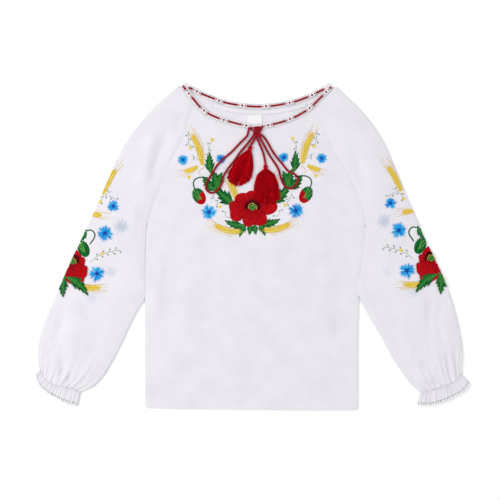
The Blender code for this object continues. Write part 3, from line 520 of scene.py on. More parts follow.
def add_node(tree, kind, settings=None, inputs=None):
    """Adds a node, sets its properties, and fills its inputs with values or links."""
    node = tree.nodes.new(kind)
    for name, value in (settings or {}).items():
        setattr(node, name, value)
    for name, value in (inputs or {}).items():
        if isinstance(value, bpy.types.NodeSocket):
            tree.links.new(value, node.inputs[name])
        else:
            node.inputs[name].default_value = value
    return node


def start_material(name, **sockets):
    """The node tree and shader of a new material of one Principled shader."""
    material = bpy.data.materials.new(name)
    material.use_nodes = True
    tree = material.node_tree
    shader = tree.nodes["Principled BSDF"]
    for socket, value in sockets.items():
        shader.inputs[socket.replace("_", " ")].default_value = value
    return tree, shader


def wave_scale(spacing):
    """The Wave Texture's scale for bands at a real spacing in metres."""
    return 2 * math.pi / (20 * spacing)


def opaque(colour):
    return (*colour, 1.0)


def darker(colour, share):
    return tuple(share * c for c in colour)


def object_place(tree):
    return add_node(tree, "ShaderNodeTexCoord").outputs["Object"]


def noise(tree, vector, scale, detail, roughness=0.5):
    return add_node(tree, "ShaderNodeTexNoise", None,
                    {"Vector": vector, "Scale": scale, "Detail": detail,
                     "Roughness": roughness}).outputs["Fac"]


def wave(tree, vector, direction, spacing, distortion, detail_scale=1.0):
    return add_node(tree, "ShaderNodeTexWave", {"bands_direction": direction},
                    {"Vector": vector, "Scale": wave_scale(spacing), "Distortion": distortion,
                     "Detail": 1.0, "Detail Scale": detail_scale}).outputs["Fac"]


def arithmetic(tree, operation, *values):
    return add_node(tree, "ShaderNodeMath", {"operation": operation},
                    dict(enumerate(values))).outputs[0]


def ranged(tree, value, low, high, to_low, to_high):
    return add_node(tree, "ShaderNodeMapRange", None,
                    {"Value": value, "From Min": low, "From Max": high, "To Min": to_low,
                     "To Max": to_high}).outputs[0]


def mixed(tree, share, first, second):
    return add_node(tree, "ShaderNodeMix", {"data_type": "RGBA"},
                    {0: share, 6: first, 7: second}).outputs[2]


def bumped(tree, height, strength, distance, **under):
    return add_node(tree, "ShaderNodeBump", None,
                    {"Height": height, "Strength": strength, "Distance": distance,
                     **under}).outputs["Normal"]


def vertex_value(tree, name):
    return add_node(tree, "ShaderNodeAttribute", {"attribute_name": name}).outputs["Fac"]


def finish_material(tree, shader, colour, normal):
    tree.links.new(colour, shader.inputs["Base Color"])
    tree.links.new(normal, shader.inputs["Normal"])


def plain_weave(name, colours, spacing):
    """Bleached cotton, woven plain and pressed: matt, with a soft bloom of fibre ends. Its threads
    are 0.35 mm apart, which the picture can't show, so the weave is drawn about three times as
    coarse. Slubs and a faint cloudiness break up the white. The gaps between the threads are
    painted darker, as painted shade."""
    tree, shader = start_material(
        name, Roughness=0.86, IOR=1.46, Specular_IOR_Level=0.35, Sheen_Weight=0.18,
        Sheen_Roughness=0.5)
    grain = add_node(tree, "ShaderNodeUVMap", {"uv_map": "grain"}).outputs["UV"]
    bands = [wave(tree, grain, axis, spacing, 0.6, 0.7) for axis in ("X", "Y")]
    weave = add_node(tree, "ShaderNodeMix", {"data_type": "FLOAT"},
                     {0: 0.5, 2: arithmetic(tree, "MULTIPLY", *bands),
                      3: arithmetic(tree, "MAXIMUM", *bands)}).outputs[0]
    low = bumped(tree, noise(tree, grain, 260.0, 3.0, 0.6), 0.25, 0.0006)
    # Painted shade: the gaps between the weave's threads are drawn darker, towards cotton_shade
    gaps = ranged(tree, weave, 0.1, 0.55, 0.55, 0.0)
    cloudy = ranged(tree, noise(tree, grain, 28.0, 4.0, 0.55), 0.35, 0.7, 0.0, 0.5)
    tone = mixed(tree, arithmetic(tree, "ADD", gaps, cloudy), opaque(colours.cotton),
                 opaque(colours.cotton_shade))
    tint = mixed(tree, vertex_value(tree, "show_through"), tone, opaque(linear(GHOST_TINT)))
    finish_material(tree, shader, tint, bumped(tree, weave, 0.55, 0.00022, Normal=low))


def twisted_cord(name, colour, shade, roughness):
    """Viscose cord, twisted from dyed yarns: a soft silky gloss, and fine yarns that show as lines
    on each strand."""
    tree, shader = start_material(name, Roughness=roughness, IOR=1.5, Specular_IOR_Level=0.14)
    place = object_place(tree)
    fibre = noise(tree, place, 1400.0, 3.0, 0.65)
    share = arithmetic(tree, "MULTIPLY_ADD", fibre, noise(tree, place, 180.0, 2.0),
                       vertex_value(tree, "thread_tone"))
    ramp = add_node(tree, "ShaderNodeValToRGB", None, {"Fac": share})
    for element, position, tone in zip(ramp.color_ramp.elements, (0.12, 0.36), (shade, colour)):
        element.position = position
        element.color = opaque(tone)
    finish_material(tree, shader, ramp.outputs["Color"], bumped(tree, fibre, 0.5, 0.0002))


def lace_thread(name, colour, spacing):
    """Bleached cotton lace, worked from loosely twisted thread: matt, with the thread's turns just
    seen as fine ridges."""
    tree, shader = start_material(
        name, Base_Color=opaque(colour), Roughness=0.8, IOR=1.46, Specular_IOR_Level=0.35,
        Sheen_Weight=0.15)
    place = object_place(tree)
    loft = ranged(tree, noise(tree, place, 900.0, 2.0), 0.0, 1.0, 0.0, 0.5)
    turns = wave(tree, place, "DIAGONAL", spacing, 1.5)
    finish_material(tree, shader, mixed(tree, loft, opaque(colour), opaque(darker(colour, 0.86))),
                    bumped(tree, turns, 0.4, 0.00015))


def embroidery_thread(name, thread):
    """Viscose embroidery thread, loosely twisted and laid flat in satin stitch: silky, with each
    stitch a little lighter or darker than the next, and faint lines of fibre along it."""
    colour = linear(THREADS[thread])
    tree, shader = start_material(name, Roughness=0.55, IOR=1.5, Specular_IOR_Level=0.05)
    fibre = noise(tree, object_place(tree), 1500.0, 2.0)
    own = arithmetic(tree, "MULTIPLY_ADD", vertex_value(tree, "stitch_tone"), 0.55, fibre)
    tone = ranged(tree, own, 0.35, 1.15, 0.0, 0.6)
    finish_material(tree, shader, mixed(tree, tone, opaque(colour), opaque(darker(colour, 0.55))),
                    bumped(tree, fibre, 0.35, 0.00012))


def made_material(name):
    """The blouse's material of that name, made when first asked for."""
    colours = bpy.context.scene.blouse_colours
    makers = {
        COTTON: (plain_weave, colours, bpy.context.scene.blouse_sizes.weave),
        CORD: (twisted_cord, colours.cord, colours.cord_shade, 0.5),
        TASSEL_THREAD: (twisted_cord, colours.tassel, colours.tassel_shade, 0.42),
        LACE_THREAD: (lace_thread, colours.lace, 0.0006),
        LABEL: (lace_thread, colours.label, 0.0004),
    }
    makers.update({EMBROIDERY + thread: (embroidery_thread, thread) for thread in THREADS})
    if name not in bpy.data.materials:
        maker, *values = makers[name]
        maker(name, *values)
    return bpy.data.materials[name]


def smooth_curve(points, samples_each=8):
    """A Catmull-Rom curve through the points, as an array."""
    p = np.array(points, float)
    p = np.vstack([2 * p[0] - p[1], p, 2 * p[-1] - p[-2]])
    found = []
    for i in range(1, len(p) - 2):
        for t in np.linspace(0, 1, samples_each, endpoint=False):
            found.append(0.5 * (2 * p[i] + (p[i + 1] - p[i - 1]) * t
                                + (2 * p[i - 1] - 5 * p[i] + 4 * p[i + 1] - p[i + 2]) * t ** 2
                                + (3 * p[i] - p[i - 1] - 3 * p[i + 1] + p[i + 2]) * t ** 3))
    found.append(p[-2])
    return np.array(found)


def run_along(curve):
    """How far along a curve each of its points is."""
    steps = np.linalg.norm(np.diff(curve, axis=0), axis=1)
    return np.concatenate([[0.0], np.cumsum(steps)])


def along(curve, shares):
    """Points at the given shares of a curve's length."""
    run = run_along(curve)
    wanted = np.array(shares) * run[-1]
    return np.stack([np.interp(wanted, run, curve[:, k]) for k in range(curve.shape[1])], axis=1)


def curve_length(curve):
    return float(np.linalg.norm(np.diff(curve, axis=0), axis=1).sum())


def evenly(curve, step):
    return along(curve, np.linspace(0, 1, max(2, round(curve_length(curve) / step) + 1)))


def unit(vectors):
    """Vectors made one long, each along the last axis."""
    return vectors / np.linalg.norm(vectors, axis=-1, keepdims=True)


def left_of(ahead):
    """Plan directions turned a quarter to the left."""
    return np.stack([-ahead[..., 1], ahead[..., 0]], axis=-1)


def side_steps(curve, distance):
    """The curve moved to the left of its direction."""
    return curve + distance * left_of(unit(np.gradient(curve, axis=0)))


def bent_row(start, end, edge, share, shares):
    """A straight row from start to end, with a share of the bend of the edge curve."""
    edge_points = along(edge, shares)
    s = np.array(shares)[:, None]
    chord = (1 - s) * edge[0] + s * edge[-1]
    return (1 - s) * np.array(start) + s * np.array(end) + share * (edge_points - chord)


def refined(rows, step):
    """Rows of points, with more rows on smooth curves between them, a step apart."""
    rows = np.asarray(rows, float)
    gaps = np.linalg.norm(np.diff(rows, axis=0), axis=-1).mean(axis=1)
    run = np.concatenate([[0.0], np.cumsum(gaps)])
    slopes = np.gradient(rows, run, axis=0)
    wanted = np.linspace(0.0, run[-1], int(run[-1] / step) + 2)
    i = np.clip(np.searchsorted(run, wanted, side="right") - 1, 0, len(run) - 2)
    width = (run[i + 1] - run[i])[:, None, None]
    t = (wanted - run[i])[:, None, None] / width
    return ((2 * t ** 3 - 3 * t ** 2 + 1) * rows[i] + (3 * t ** 2 - 2 * t ** 3) * rows[i + 1]
            + width * ((t ** 3 - 2 * t ** 2 + t) * slopes[i] + (t ** 3 - t ** 2) * slopes[i + 1]))


def fold_field(points, folds):
    """Heights at an array of places. Each fold is a bell across, uneven along its length and
    faded out at its ends."""
    total = np.zeros(points.shape[:-1])
    for number, fold in enumerate(folds):
        line = smooth_curve((fold.start, fold.middle, fold.end), 6)
        best = np.full(total.shape, 1e9)
        where = np.zeros(total.shape)
        for i, (a, b) in enumerate(zip(line[:-1], line[1:])):
            run = b - a
            t = np.clip(((points - a) @ run) / (run @ run), 0, 1)
            gap = np.linalg.norm(points - a - t[..., None] * run, axis=-1)
            where = np.where(gap < best, (i + t) / (len(line) - 1), where)
            best = np.minimum(gap, best)
        fade = np.clip(np.minimum(where, 1 - where) / FOLD_FADE, 0, 1)
        uneven = 1 + 0.25 * np.sin(7 * where + number)
        total += fold.height * fade * fade * (3 - 2 * fade) * uneven * np.exp(
            -(best / fold.width) ** 2)
    return total


def place_object(name, mesh):
    """A smooth-shaded object of the mesh, riding on the blouse's one body."""
    mesh.shade_smooth()
    made = bpy.data.objects.new(name, mesh)
    bpy.context.scene.collection.objects.link(made)
    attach(made, BODY)
    return made


def new_mesh(name, vertices, faces):
    """A mesh from vertices in millimetres."""
    mesh = bpy.data.meshes.new(name)
    mesh.from_pydata((np.asarray(vertices, float) * MM).tolist(), [], faces)
    return mesh


def face_outwards(mesh, merge=None, upwards=False):
    """Turns a mesh's faces alike, after merging its doubles within a distance if one is given."""
    bm = bmesh.new()
    bm.from_mesh(mesh)
    if merge:
        bmesh.ops.remove_doubles(bm, verts=bm.verts, dist=merge * MM)
    bmesh.ops.recalc_face_normals(bm, faces=bm.faces)
    if upwards and sum(face.normal.z for face in bm.faces) < 0:
        bmesh.ops.reverse_faces(bm, faces=bm.faces)
    bm.to_mesh(mesh)
    bm.free()


def make_object(name, shape, material, nodes=(), grain=None):
    """An object from vertices in millimetres and their faces, in place of its CAD nodes."""
    mesh = new_mesh(name, *shape)
    mesh.materials.append(made_material(material))
    face_outwards(mesh)
    if grain is not None:
        layer = mesh.uv_layers.new(name="grain")
        corners = np.empty(len(mesh.loops), dtype=np.int32)
        mesh.loops.foreach_get("vertex_index", corners)
        layer.data.foreach_set("uv", (np.asarray(grain, float) * MM)[corners].ravel())
    made = place_object(name, mesh)
    mesh.set_sharp_from_angle(angle=math.radians(50))
    if nodes:
        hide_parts(*nodes)
    return made


def set_values(made, name, values):
    """Gives each vertex a value that the material reads."""
    made.data.attributes.new(name, "FLOAT", "POINT").data.foreach_set("value", values)


def band(a, b, count, ring=False):
    """Quads between two rows of vertices, which are numbered on from a and from b."""
    return [(a + k, a + (k + 1) % count, b + (k + 1) % count, b + k)
            for k in range(count if ring else count - 1)]


def grid_faces(rows, columns, start=0, ring=False):
    """Quads of a grid whose vertices are numbered row by row."""
    return [face for a in range(start, start + (rows - 1) * columns, columns)
            for face in band(a, a + columns, columns, ring)]


def slab(name, plan, low, high, material, nodes=()):
    """A cloth panel between a lower and an upper height at every lattice point."""
    rows, columns = plan.shape[:2]
    count = rows * columns
    vertices = np.concatenate([np.dstack([plan, low]).reshape(-1, 3),
                               np.dstack([plan, high]).reshape(-1, 3)])
    faces = grid_faces(rows, columns) + grid_faces(rows, columns, count)
    faces += band(0, count, columns) + band(count - columns, 2 * count - columns, columns)
    for side in (0, columns - 1):
        faces += [(a, a + columns, a + columns + count, a + count)
                  for a in range(side, count - columns, columns)]
    return make_object(name, (vertices, faces), material, nodes, grain=vertices[:, :2])


def body_lattice(side, neck, dips, columns):
    """A body panel's lattice, from the hem to the neck edge."""
    shares = np.linspace(0, 1, columns)
    neck_curve = smooth_curve(neck)
    rows = [bent_row(row.left, row.right, neck_curve, 0.0, shares) for row in BODY_ROWS]
    for left, right, dip in zip(LEFT_SLEEVE[BODY_JOIN:], RIGHT_SLEEVE[BODY_JOIN:], dips):
        rows.append(bent_row(getattr(left, side), getattr(right, side), neck_curve, dip, shares))
    return refined(rows, LATTICE_STEP)


def edge_distance(plan):
    """How far each lattice point is from its row's nearer end."""
    left = np.linalg.norm(plan - plan[:, :1], axis=-1)
    right = np.linalg.norm(plan - plan[:, -1:], axis=-1)
    return np.minimum(left, right)


def rolled_low(lift, from_seam):
    """The underside of a front layer, which rolls down into its seam."""
    roll = SEAM_ROLL * np.exp(-(from_seam / SEAM_ROLL_WIDTH) ** 2)
    return np.maximum(CLOTH + LEAST_GAP, FRONT_Z + lift - roll)


def hem_step(plan):
    """0 on the cloth and 1 on the turned-up hem, with a narrow slope between them and a dip along
    it, where the hem's edge presses the cloth down."""
    (x1, y1), (x2, y2) = HEM_LINE
    line = y1 + (plan[..., 0] - x1) * (y2 - y1) / (x2 - x1)
    t = np.clip((line - plan[..., 1]) / 2.5 + 0.5, 0, 1)
    dip = 0.6 * np.exp(-((plan[..., 1] - line - 2.0) / 1.6) ** 2)
    return t * t * (3 - 2 * t) - dip


def front_cloth():
    plan = body_lattice(*FRONT, 110)
    y = plan[..., 1]
    share = np.linspace(0, 1, plan.shape[1])[None, :]
    fade = np.clip((CROWN_FADES[1] - y) / (CROWN_FADES[1] - CROWN_FADES[0]), 0, 1)
    crown = BODY_CROWN * fade * np.minimum(1.0, 6 * share * (1 - share))
    lift = np.maximum(0.0, crown + fold_field(plan, FRONT_FOLDS))
    low = rolled_low(lift, edge_distance(plan))
    high = low + CLOTH + HEM_THICKER * hem_step(plan)
    return slab("front_cloth", plan, low, high, COTTON)


def back_cloth():
    plan = body_lattice(*BACK, 80)
    lift = np.clip(fold_field(plan, BACK_FOLDS), 0.0, HIDDEN_LIFT)
    lift *= np.clip((60.0 - plan[..., 1]) / 40.0, 0, 1)
    return slab("back_cloth", plan, lift, lift + CLOTH, COTTON)


def declare_cloth(piece, node, width, length, rests_on, held="laid"):
    """Hides the CAD node that a piece of cloth takes the place of. The piece, its cut size, rests_on
    and held are not used.
    """
    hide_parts(node)


def sleeve_plan(row, side, gather_curve, shares):
    """Plan points across a sleeve's row, from its outer fold at 0 to its seam's side at 1."""
    outer, front, back, (bend, _), _ = row
    return bent_row(outer, front if side == "front" else back, gather_curve, bend, shares)


def sleeve_ring(row, number, gather_curve, folds):
    """Outer and inner points of a row, from the back's seam round the outer fold to the front's
    seam, and round the underarm's fold too where the row is closed. Also each point's place on
    the cloth's grain."""
    outer, front, _, (bend, crown), (place, _) = row
    closed = place <= UNDERARM + 0.001
    width = float(np.linalg.norm(outer - front))
    turn = FOLD_RADIUS / width
    hollow = (FOLD_RADIUS - CLOTH) / width
    last = 1 - turn if closed else 1 - 0.1 / width
    arc = np.radians(FOLD_ARC)
    outside, inside, grain = [], [], []

    def add(side, shares, inner_shares, z, inner_z, sign):
        for skin, some_shares, heights in ((outside, shares, z), (inside, inner_shares, inner_z)):
            plan = sleeve_plan(row, side, gather_curve, some_shares)
            skin.append(np.column_stack([plan, heights]))
        grain.append(np.column_stack([sign * np.asarray(shares) * width,
                                      np.full(len(shares), number * LATTICE_STEP)]))

    shares = np.linspace(last, turn, SLEEVE_BACK_COLUMNS)
    plan = sleeve_plan(row, "back", gather_curve, shares)
    lift = np.clip(fold_field(plan, SLEEVE_BACK_FOLDS), 0, HIDDEN_LIFT)
    add("back", shares, shares, lift, lift + CLOTH, -1)
    middle = np.full(len(arc), FOLD_RADIUS)
    add("front", turn * (1 - np.cos(arc)), turn - hollow * np.cos(arc),
        middle + FOLD_RADIUS * np.sin(arc), middle + (FOLD_RADIUS - CLOTH) * np.sin(arc), 1)

    shares = np.linspace(turn, last, SLEEVE_TOP_COLUMNS)
    plan = sleeve_plan(row, "front", gather_curve, shares)
    swell = crown * np.sin(math.pi * np.clip(shares, 0, 1)) ** 0.8
    inward = (1 - shares) * width
    gather = np.interp(place, (0, 1, 2, 3.4), (1.0, 0.75, 0.35, 0.0))
    pucker = (0.9 * np.cos(2 * math.pi * (PUCKERS * shares + 0.12 * place))
              + 0.5 * np.cos(2 * math.pi * (1.63 * PUCKERS * shares - 0.2 * place) + 1.0))
    lift = np.maximum(0.0, swell + gather * (0.9 + pucker) + fold_field(plan, folds))
    if closed:
        allowance = 0.4 * np.exp(-((inward - ALLOWANCE) / 1.7) ** 2)
        low = FRONT_Z + lift + allowance
    else:
        low = rolled_low(lift, inward)
    add("front", shares, shares, low + CLOTH, low, 1)
    if closed:
        add("front", 1 - turn * (1 - np.cos(arc)), 1 - turn + hollow * np.cos(arc),
            middle + FOLD_RADIUS * np.sin(-arc), middle + (FOLD_RADIUS - CLOTH) * np.sin(-arc), 1)
    return np.concatenate(outside), np.concatenate(inside), np.concatenate(grain), closed


def sleeve_cloth(side, sections, cuff, folds, ghosts):
    """A flattened tube up to the underarm, and a folded sheet between the raglan seams above."""
    gather_curve = smooth_curve([station.gather for station in cuff])
    rows = refined([(s.outer, s.front, s.back, (s.bend, s.crown), (i, 0.0))
                    for i, s in enumerate(sections)], LATTICE_STEP)
    strip = SLEEVE_BACK_COLUMNS + len(FOLD_ARC) + SLEEVE_TOP_COLUMNS
    ring = strip + len(FOLD_ARC)
    vertices, grain, starts, closed_rows = [], [], [], []
    count = 0
    for number, row in enumerate(rows):
        outside, inside, places, closed = sleeve_ring(row, number, gather_curve, folds)
        starts.append((count, count + len(outside)))
        vertices += [outside, inside]
        grain += [places, places]
        count += 2 * len(outside)
        closed_rows.append(closed)
    faces = []
    for j in range(len(rows) - 1):
        both_closed = closed_rows[j] and closed_rows[j + 1]
        for a, b in zip(starts[j], starts[j + 1]):
            faces += band(a, b, ring, True) if both_closed else band(a, b, strip)
        if not both_closed:
            (a, c), (b, d) = starts[j], starts[j + 1]
            faces += [(a + k, b + k, d + k, c + k) for k in (0, strip - 1)]
    crotch = closed_rows.index(False) - 1
    faces += band(*starts[crotch], ring, True)[strip - 1:]
    faces += band(*starts[0], ring, True)
    faces += band(*starts[-1], strip)
    vertices = np.concatenate(vertices)
    made = make_object(side + "_sleeve_cloth", (vertices, faces), COTTON,
                       grain=np.concatenate(grain))
    values = np.zeros(len(vertices))
    for ghost in ghosts:
        away = vertices[:, :2] - np.array(ghost.centre)
        reach = np.linalg.norm(away, axis=1) / ghost.radius
        petals = 0.8 + 0.2 * np.cos(9 * np.arctan2(away[:, 1], away[:, 0]))
        values += ghost.strength * np.exp(-(reach / petals) ** 4)
    set_values(made, "show_through", values * (vertices[:, 2] > FOLD_RADIUS))
    return made


def frill_place(gather, edge, shares, depth_share):
    """Plan points on a frill, at shares of its width and of its depth."""
    a, b = along(gather, shares), along(edge, shares)
    return a + (b - a) * depth_share


def frill_wave(shares, depth_share, join):
    """The height of a frill's waves above the flat front: the waves are uneven, lean to and fro as
    they go down, are crumpled, and small puckers run out from the gathering line."""
    rise = np.interp(depth_share, (0.0, 0.35, join), (0.8, 0.5, 1.0)) * FRILL_WAVE_HEIGHT
    lean = 1.6 * depth_share * np.sin(17 * shares + 0.8)
    phase = 2 * math.pi * FRILL_WAVES * shares + 1.1 * np.sin(11 * shares + 1) - lean
    uneven = 0.74 + 0.26 * np.sin(2.4 * FRILL_WAVES * shares + 1.3)
    crumple = 0.3 * np.sin(9 * FRILL_WAVES * shares + 5 * depth_share) \
        * np.sin(math.pi * (3.0 * depth_share + 7 * shares))
    wave = rise * uneven * (0.5 - 0.5 * np.cos(phase)) + crumple * math.sin(math.pi * depth_share)
    puckers = 0.5 * math.exp(-2.6 * depth_share) * (1 + np.sin(2 * math.pi * 2.6 * FRILL_WAVES
                                                               * shares + 2 * depth_share))
    return wave + puckers


def cuff_curves(cuff):
    gather = smooth_curve([station.gather for station in cuff])
    edge = smooth_curve([station.edge for station in cuff])
    depth = np.mean([np.linalg.norm(np.subtract(s.edge, s.gather)) for s in cuff])
    return gather, edge, 1 - CUFF_LACE_DEPTH / depth


def cuff_frill(side, cuff):
    """A gathered tube of cloth, flat behind and waved in front."""
    gather, edge, join = cuff_curves(cuff)
    columns, back_columns = FRILL_WAVES * 12, 16
    front = np.linspace(0.02, 0.98, columns)
    back = np.linspace(0.98, 0.02, back_columns)
    shares = np.concatenate([back, [0.0], front, [1.0]])
    inner = np.concatenate([back, [0.02], front, [0.98]])
    vertices, grain = [], []
    depths = np.linspace(0.012, join, 11)
    for depth_share in depths:
        wave = frill_wave(front, depth_share, join)
        top = FRONT_Z + FRILL_WALL + wave
        outside = np.concatenate([np.zeros(back_columns), [FOLD_RADIUS], top, [FOLD_RADIUS]])
        inside = np.concatenate([np.full(back_columns, CLOTH), [FOLD_RADIUS], top - FRILL_WALL,
                                 [FOLD_RADIUS]])
        vertices.append(np.column_stack([frill_place(gather, edge, shares, depth_share), outside]))
        vertices.append(np.column_stack([frill_place(gather, edge, inner, depth_share), inside]))
        place = np.column_stack([shares * 140.0, np.full(len(shares), depth_share * 30.0)])
        grain += [place, place]
    ring = len(shares)
    faces = []
    for skin in range(2 * len(depths) - 2):
        faces += band(skin * ring, (skin + 2) * ring, ring, True)
    for end in (0, 2 * len(depths) - 2):
        faces += band(end * ring, (end + 1) * ring, ring, True)
    return make_object(side + "_cuff_frill", (np.concatenate(vertices), faces), COTTON,
                       grain=np.concatenate(grain))


def eyelet_cell(u_span, v_span, hole, scallop=0.0):
    """Plan points and faces of one cell of lace with a round or oval hole. hole is its half-length
    and half-height, and scallop swells the cell's far side."""
    a = 2 * math.pi * np.arange(EYELET_CORNERS) / EYELET_CORNERS
    square = np.stack([np.cos(a), np.sin(a)], axis=1)
    square /= np.abs(square).max(axis=1)[:, None]
    middle = np.array((sum(u_span) / 2, sum(v_span) / 2))
    half = np.array((u_span[1] - u_span[0], v_span[1] - v_span[0])) / 2
    border = middle + square * half
    border[:, 1] += scallop * (1 - square[:, 0] ** 2) * (square[:, 1] > 0.99)
    rim = middle + np.stack([hole[0] * np.cos(a), hole[1] * np.sin(a)], axis=1)
    points = np.concatenate([rim, (rim + border) / 2, border])
    return points, grid_faces(3, EYELET_CORNERS, ring=True)


def lace_object(name, cells, to_space, nodes, thickness):
    """Lace cells joined along their borders, taken from the lace's own (u, v) plane to space, with
    a thread's thickness."""
    points, faces = join_parts(cells)
    made = make_object(name, (to_space(points[:, 0], points[:, 1]), faces), LACE_THREAD, nodes)
    face_outwards(made.data, merge=0.02, upwards=True)
    wall = made.modifiers.new("thread", "SOLIDIFY")
    wall.thickness = thickness * MM
    wall.offset = 0.0


def cuff_lace(side, cuff):
    """Narrow eyelet lace along a frill's edge, once on its front and once on its back."""
    gather, edge, join = cuff_curves(cuff)
    cells = []
    for k in range(CUFF_LACE_CELLS):
        span = (k / CUFF_LACE_CELLS, (k + 1) / CUFF_LACE_CELLS)
        for layer in (0, 10):
            cells.append(eyelet_cell(span, (layer, layer + 0.55), (0.38 / CUFF_LACE_CELLS, 0.21)))
            cells.append(eyelet_cell(span, (layer + 0.55, layer + 0.9),
                                     (0.28 / CUFF_LACE_CELLS, 0.1), scallop=0.1))

    def to_space(u, v):
        back = v > 5
        depth_share = join + 0.004 + (v - 10 * back) * (1 - join)
        shares = np.clip(u, 0, 1)
        plan = frill_place(gather, edge, shares, depth_share[:, None])
        front_z = FRONT_Z + FRILL_WALL - 0.4 + frill_wave(np.clip(shares, 0.02, 0.98), 1.0, join)
        rim = np.clip(np.minimum(shares, 1 - shares) / 0.04, 0, 1)
        z = np.where(back, 0.35, FOLD_RADIUS + (front_z - FOLD_RADIUS) * rim)
        return np.column_stack([plan, z])

    lace_object(side + "_cuff_lace", cells, to_space, ["cuff_lace_" + side],
                CUFF_LACE_THICKNESS)


def neck_edge(panel_row, side):
    """The cloth's neck edge from one folded corner to the other, left to right."""
    parts = []
    for section, reverse in ((LEFT_SLEEVE[-1], False), (RIGHT_SLEEVE[-1], True)):
        shares = np.linspace(NECK_CORNER_SHARE, 1, 6)[:, None]
        row = (1 - shares) * np.array(section.outer) + shares * np.array(getattr(section, side))
        parts.append(row[::-1] if reverse else row)
    return np.vstack([parts[0][:-1], panel_row, parts[1][1:]])


class LaceLine:
    """A neck edge as a ruler: u runs along it and v away from the cloth, both in millimetres."""

    def __init__(self, edge):
        self.line = evenly(edge, 1.0)
        self.length = curve_length(self.line)
        self.run = np.linspace(0, self.length, len(self.line))
        away = side_steps(self.line, 1.0) - self.line
        kernel = np.ones(9) / 9
        padded = np.vstack([away[:1].repeat(4, axis=0), away, away[-1:].repeat(4, axis=0)])
        self.away = unit(np.stack([np.convolve(padded[:, k], kernel, "valid")
                                   for k in (0, 1)], axis=1))

    def place(self, u, v):
        found = [np.interp(u, self.run, self.line[:, k]) + v * np.interp(u, self.run,
                                                                         self.away[:, k])
                 for k in (0, 1)]
        return np.stack(found, axis=-1)

    def at_x(self, x):
        return float(np.interp(x, self.line[:, 0], self.run))


def neck_lace(side, edge, top, first_dot, dot_step):
    """Beading lace: eyelet bands either side of the drawstring, and small bridges over it. Each
    bridge has a ringed hole in its middle, through which the drawstring shows as a dot."""
    name = side + "_neck_lace"
    base_z = top - 0.5
    cord_top = cord_height(top) + CORD_RADIUS
    ruler = LaceLine(edge)
    start = ruler.at_x(first_dot)
    dots = start + dot_step * np.arange(math.ceil(-start / dot_step),
                                        math.floor((ruler.length - start) / dot_step) + 1)
    dots = dots[(dots > BRIDGE_HALF) & (dots < ruler.length - BRIDGE_HALF)]
    count = round(ruler.length / LACE_CELL)
    cells = []
    for k in range(count):
        span = (k * ruler.length / count, (k + 1) * ruler.length / count)
        near = np.abs(dots - sum(span) / 2).min() < BRIDGE_HALF + 1.0
        hole = (1.05, 0.95) if near else (0.62, 0.5)
        cells.append(eyelet_cell(span, (0.0, LACE_BAND), hole))
        cells.append(eyelet_cell(span, (LACE_BAND, LACE_WIDTH - LACE_BAND), (0.4, 0.4)))
        cells.append(eyelet_cell(span, (LACE_WIDTH - LACE_BAND, LACE_WIDTH - 0.7), hole, 0.9))

    def flat(u, v):
        return np.column_stack([ruler.place(u, v + SEAM_GAP), np.full(len(u), base_z)])

    lace_object(name, cells, flat, ["neck_lace_" + side], LACE_THICKNESS)

    def arched(u, v):
        over = np.cos(np.clip((v - LACE_WIDTH / 2) / BRIDGE_REACH, -1, 1) * math.pi / 2) ** 0.7
        z = base_z + 0.5 + (cord_top + 0.35 - base_z - 0.5) * over
        return np.column_stack([ruler.place(u, v + SEAM_GAP), z])

    bridge_cells, threads = [], []
    v_span = (LACE_WIDTH / 2 - BRIDGE_REACH, LACE_WIDTH / 2 + BRIDGE_REACH)
    third = BRIDGE_HALF / 2.2
    a = np.linspace(0, 2 * math.pi, RING_POINTS)
    for dot in dots:
        for low, high, wide in ((-BRIDGE_HALF, -third, 1.1), (-third, third, 2.1),
                                (third, BRIDGE_HALF, 1.1)):
            bridge_cells.append(eyelet_cell((dot + low, dot + high), v_span, (wide, 1.9)))
        ring = arched(dot + 2.5 * np.cos(a), LACE_WIDTH / 2 + 2.3 * np.sin(a))
        threads.append(bound_ring(ring + (0, 0, 0.35), 0.5))
    lace_object(name + "_bridges", bridge_cells, arched, (), BRIDGE_THICKNESS)
    make_object(name + "_rings", join_parts(threads), LACE_THREAD)


def cord_height(top):
    """The height of the drawstring's middle in the lace beside a layer's top."""
    return top + SEAM_GAP + CORD_RADIUS


def neck_cord(row, edge, z):
    """A run of the drawstring where the neck lace holds it."""
    line = smooth_curve(side_steps(edge, SEAM_GAP + LACE_WIDTH / 2), 3)
    line = evenly(line[(line[:, 0] >= row.first) & (line[:, 0] <= row.last)], CORD_STEP)
    points = np.column_stack([line, np.full(len(line), z)])
    make_object(row.node + "_twisted", twisted_tube(points, CORD_RADIUS + LOOSER), CORD,
                [row.node])


def neck_strip(name, node, rows, thickness, material):
    """A flat strip on the back panel, between two rows of points."""
    plan = np.stack([(1 - t) * rows[0] + t * rows[1] for t in np.linspace(0, 1, 7)])
    low = np.full(plan.shape[:2], CLOTH + SEAM_GAP)
    return slab(name, plan, low, low + thickness, material, [node])


def facing_span():
    """The part of the back panel's neck edge that the facing covers."""
    return along(body_lattice(*BACK, 60)[-1], np.linspace(*FACING_SPAN, 60))


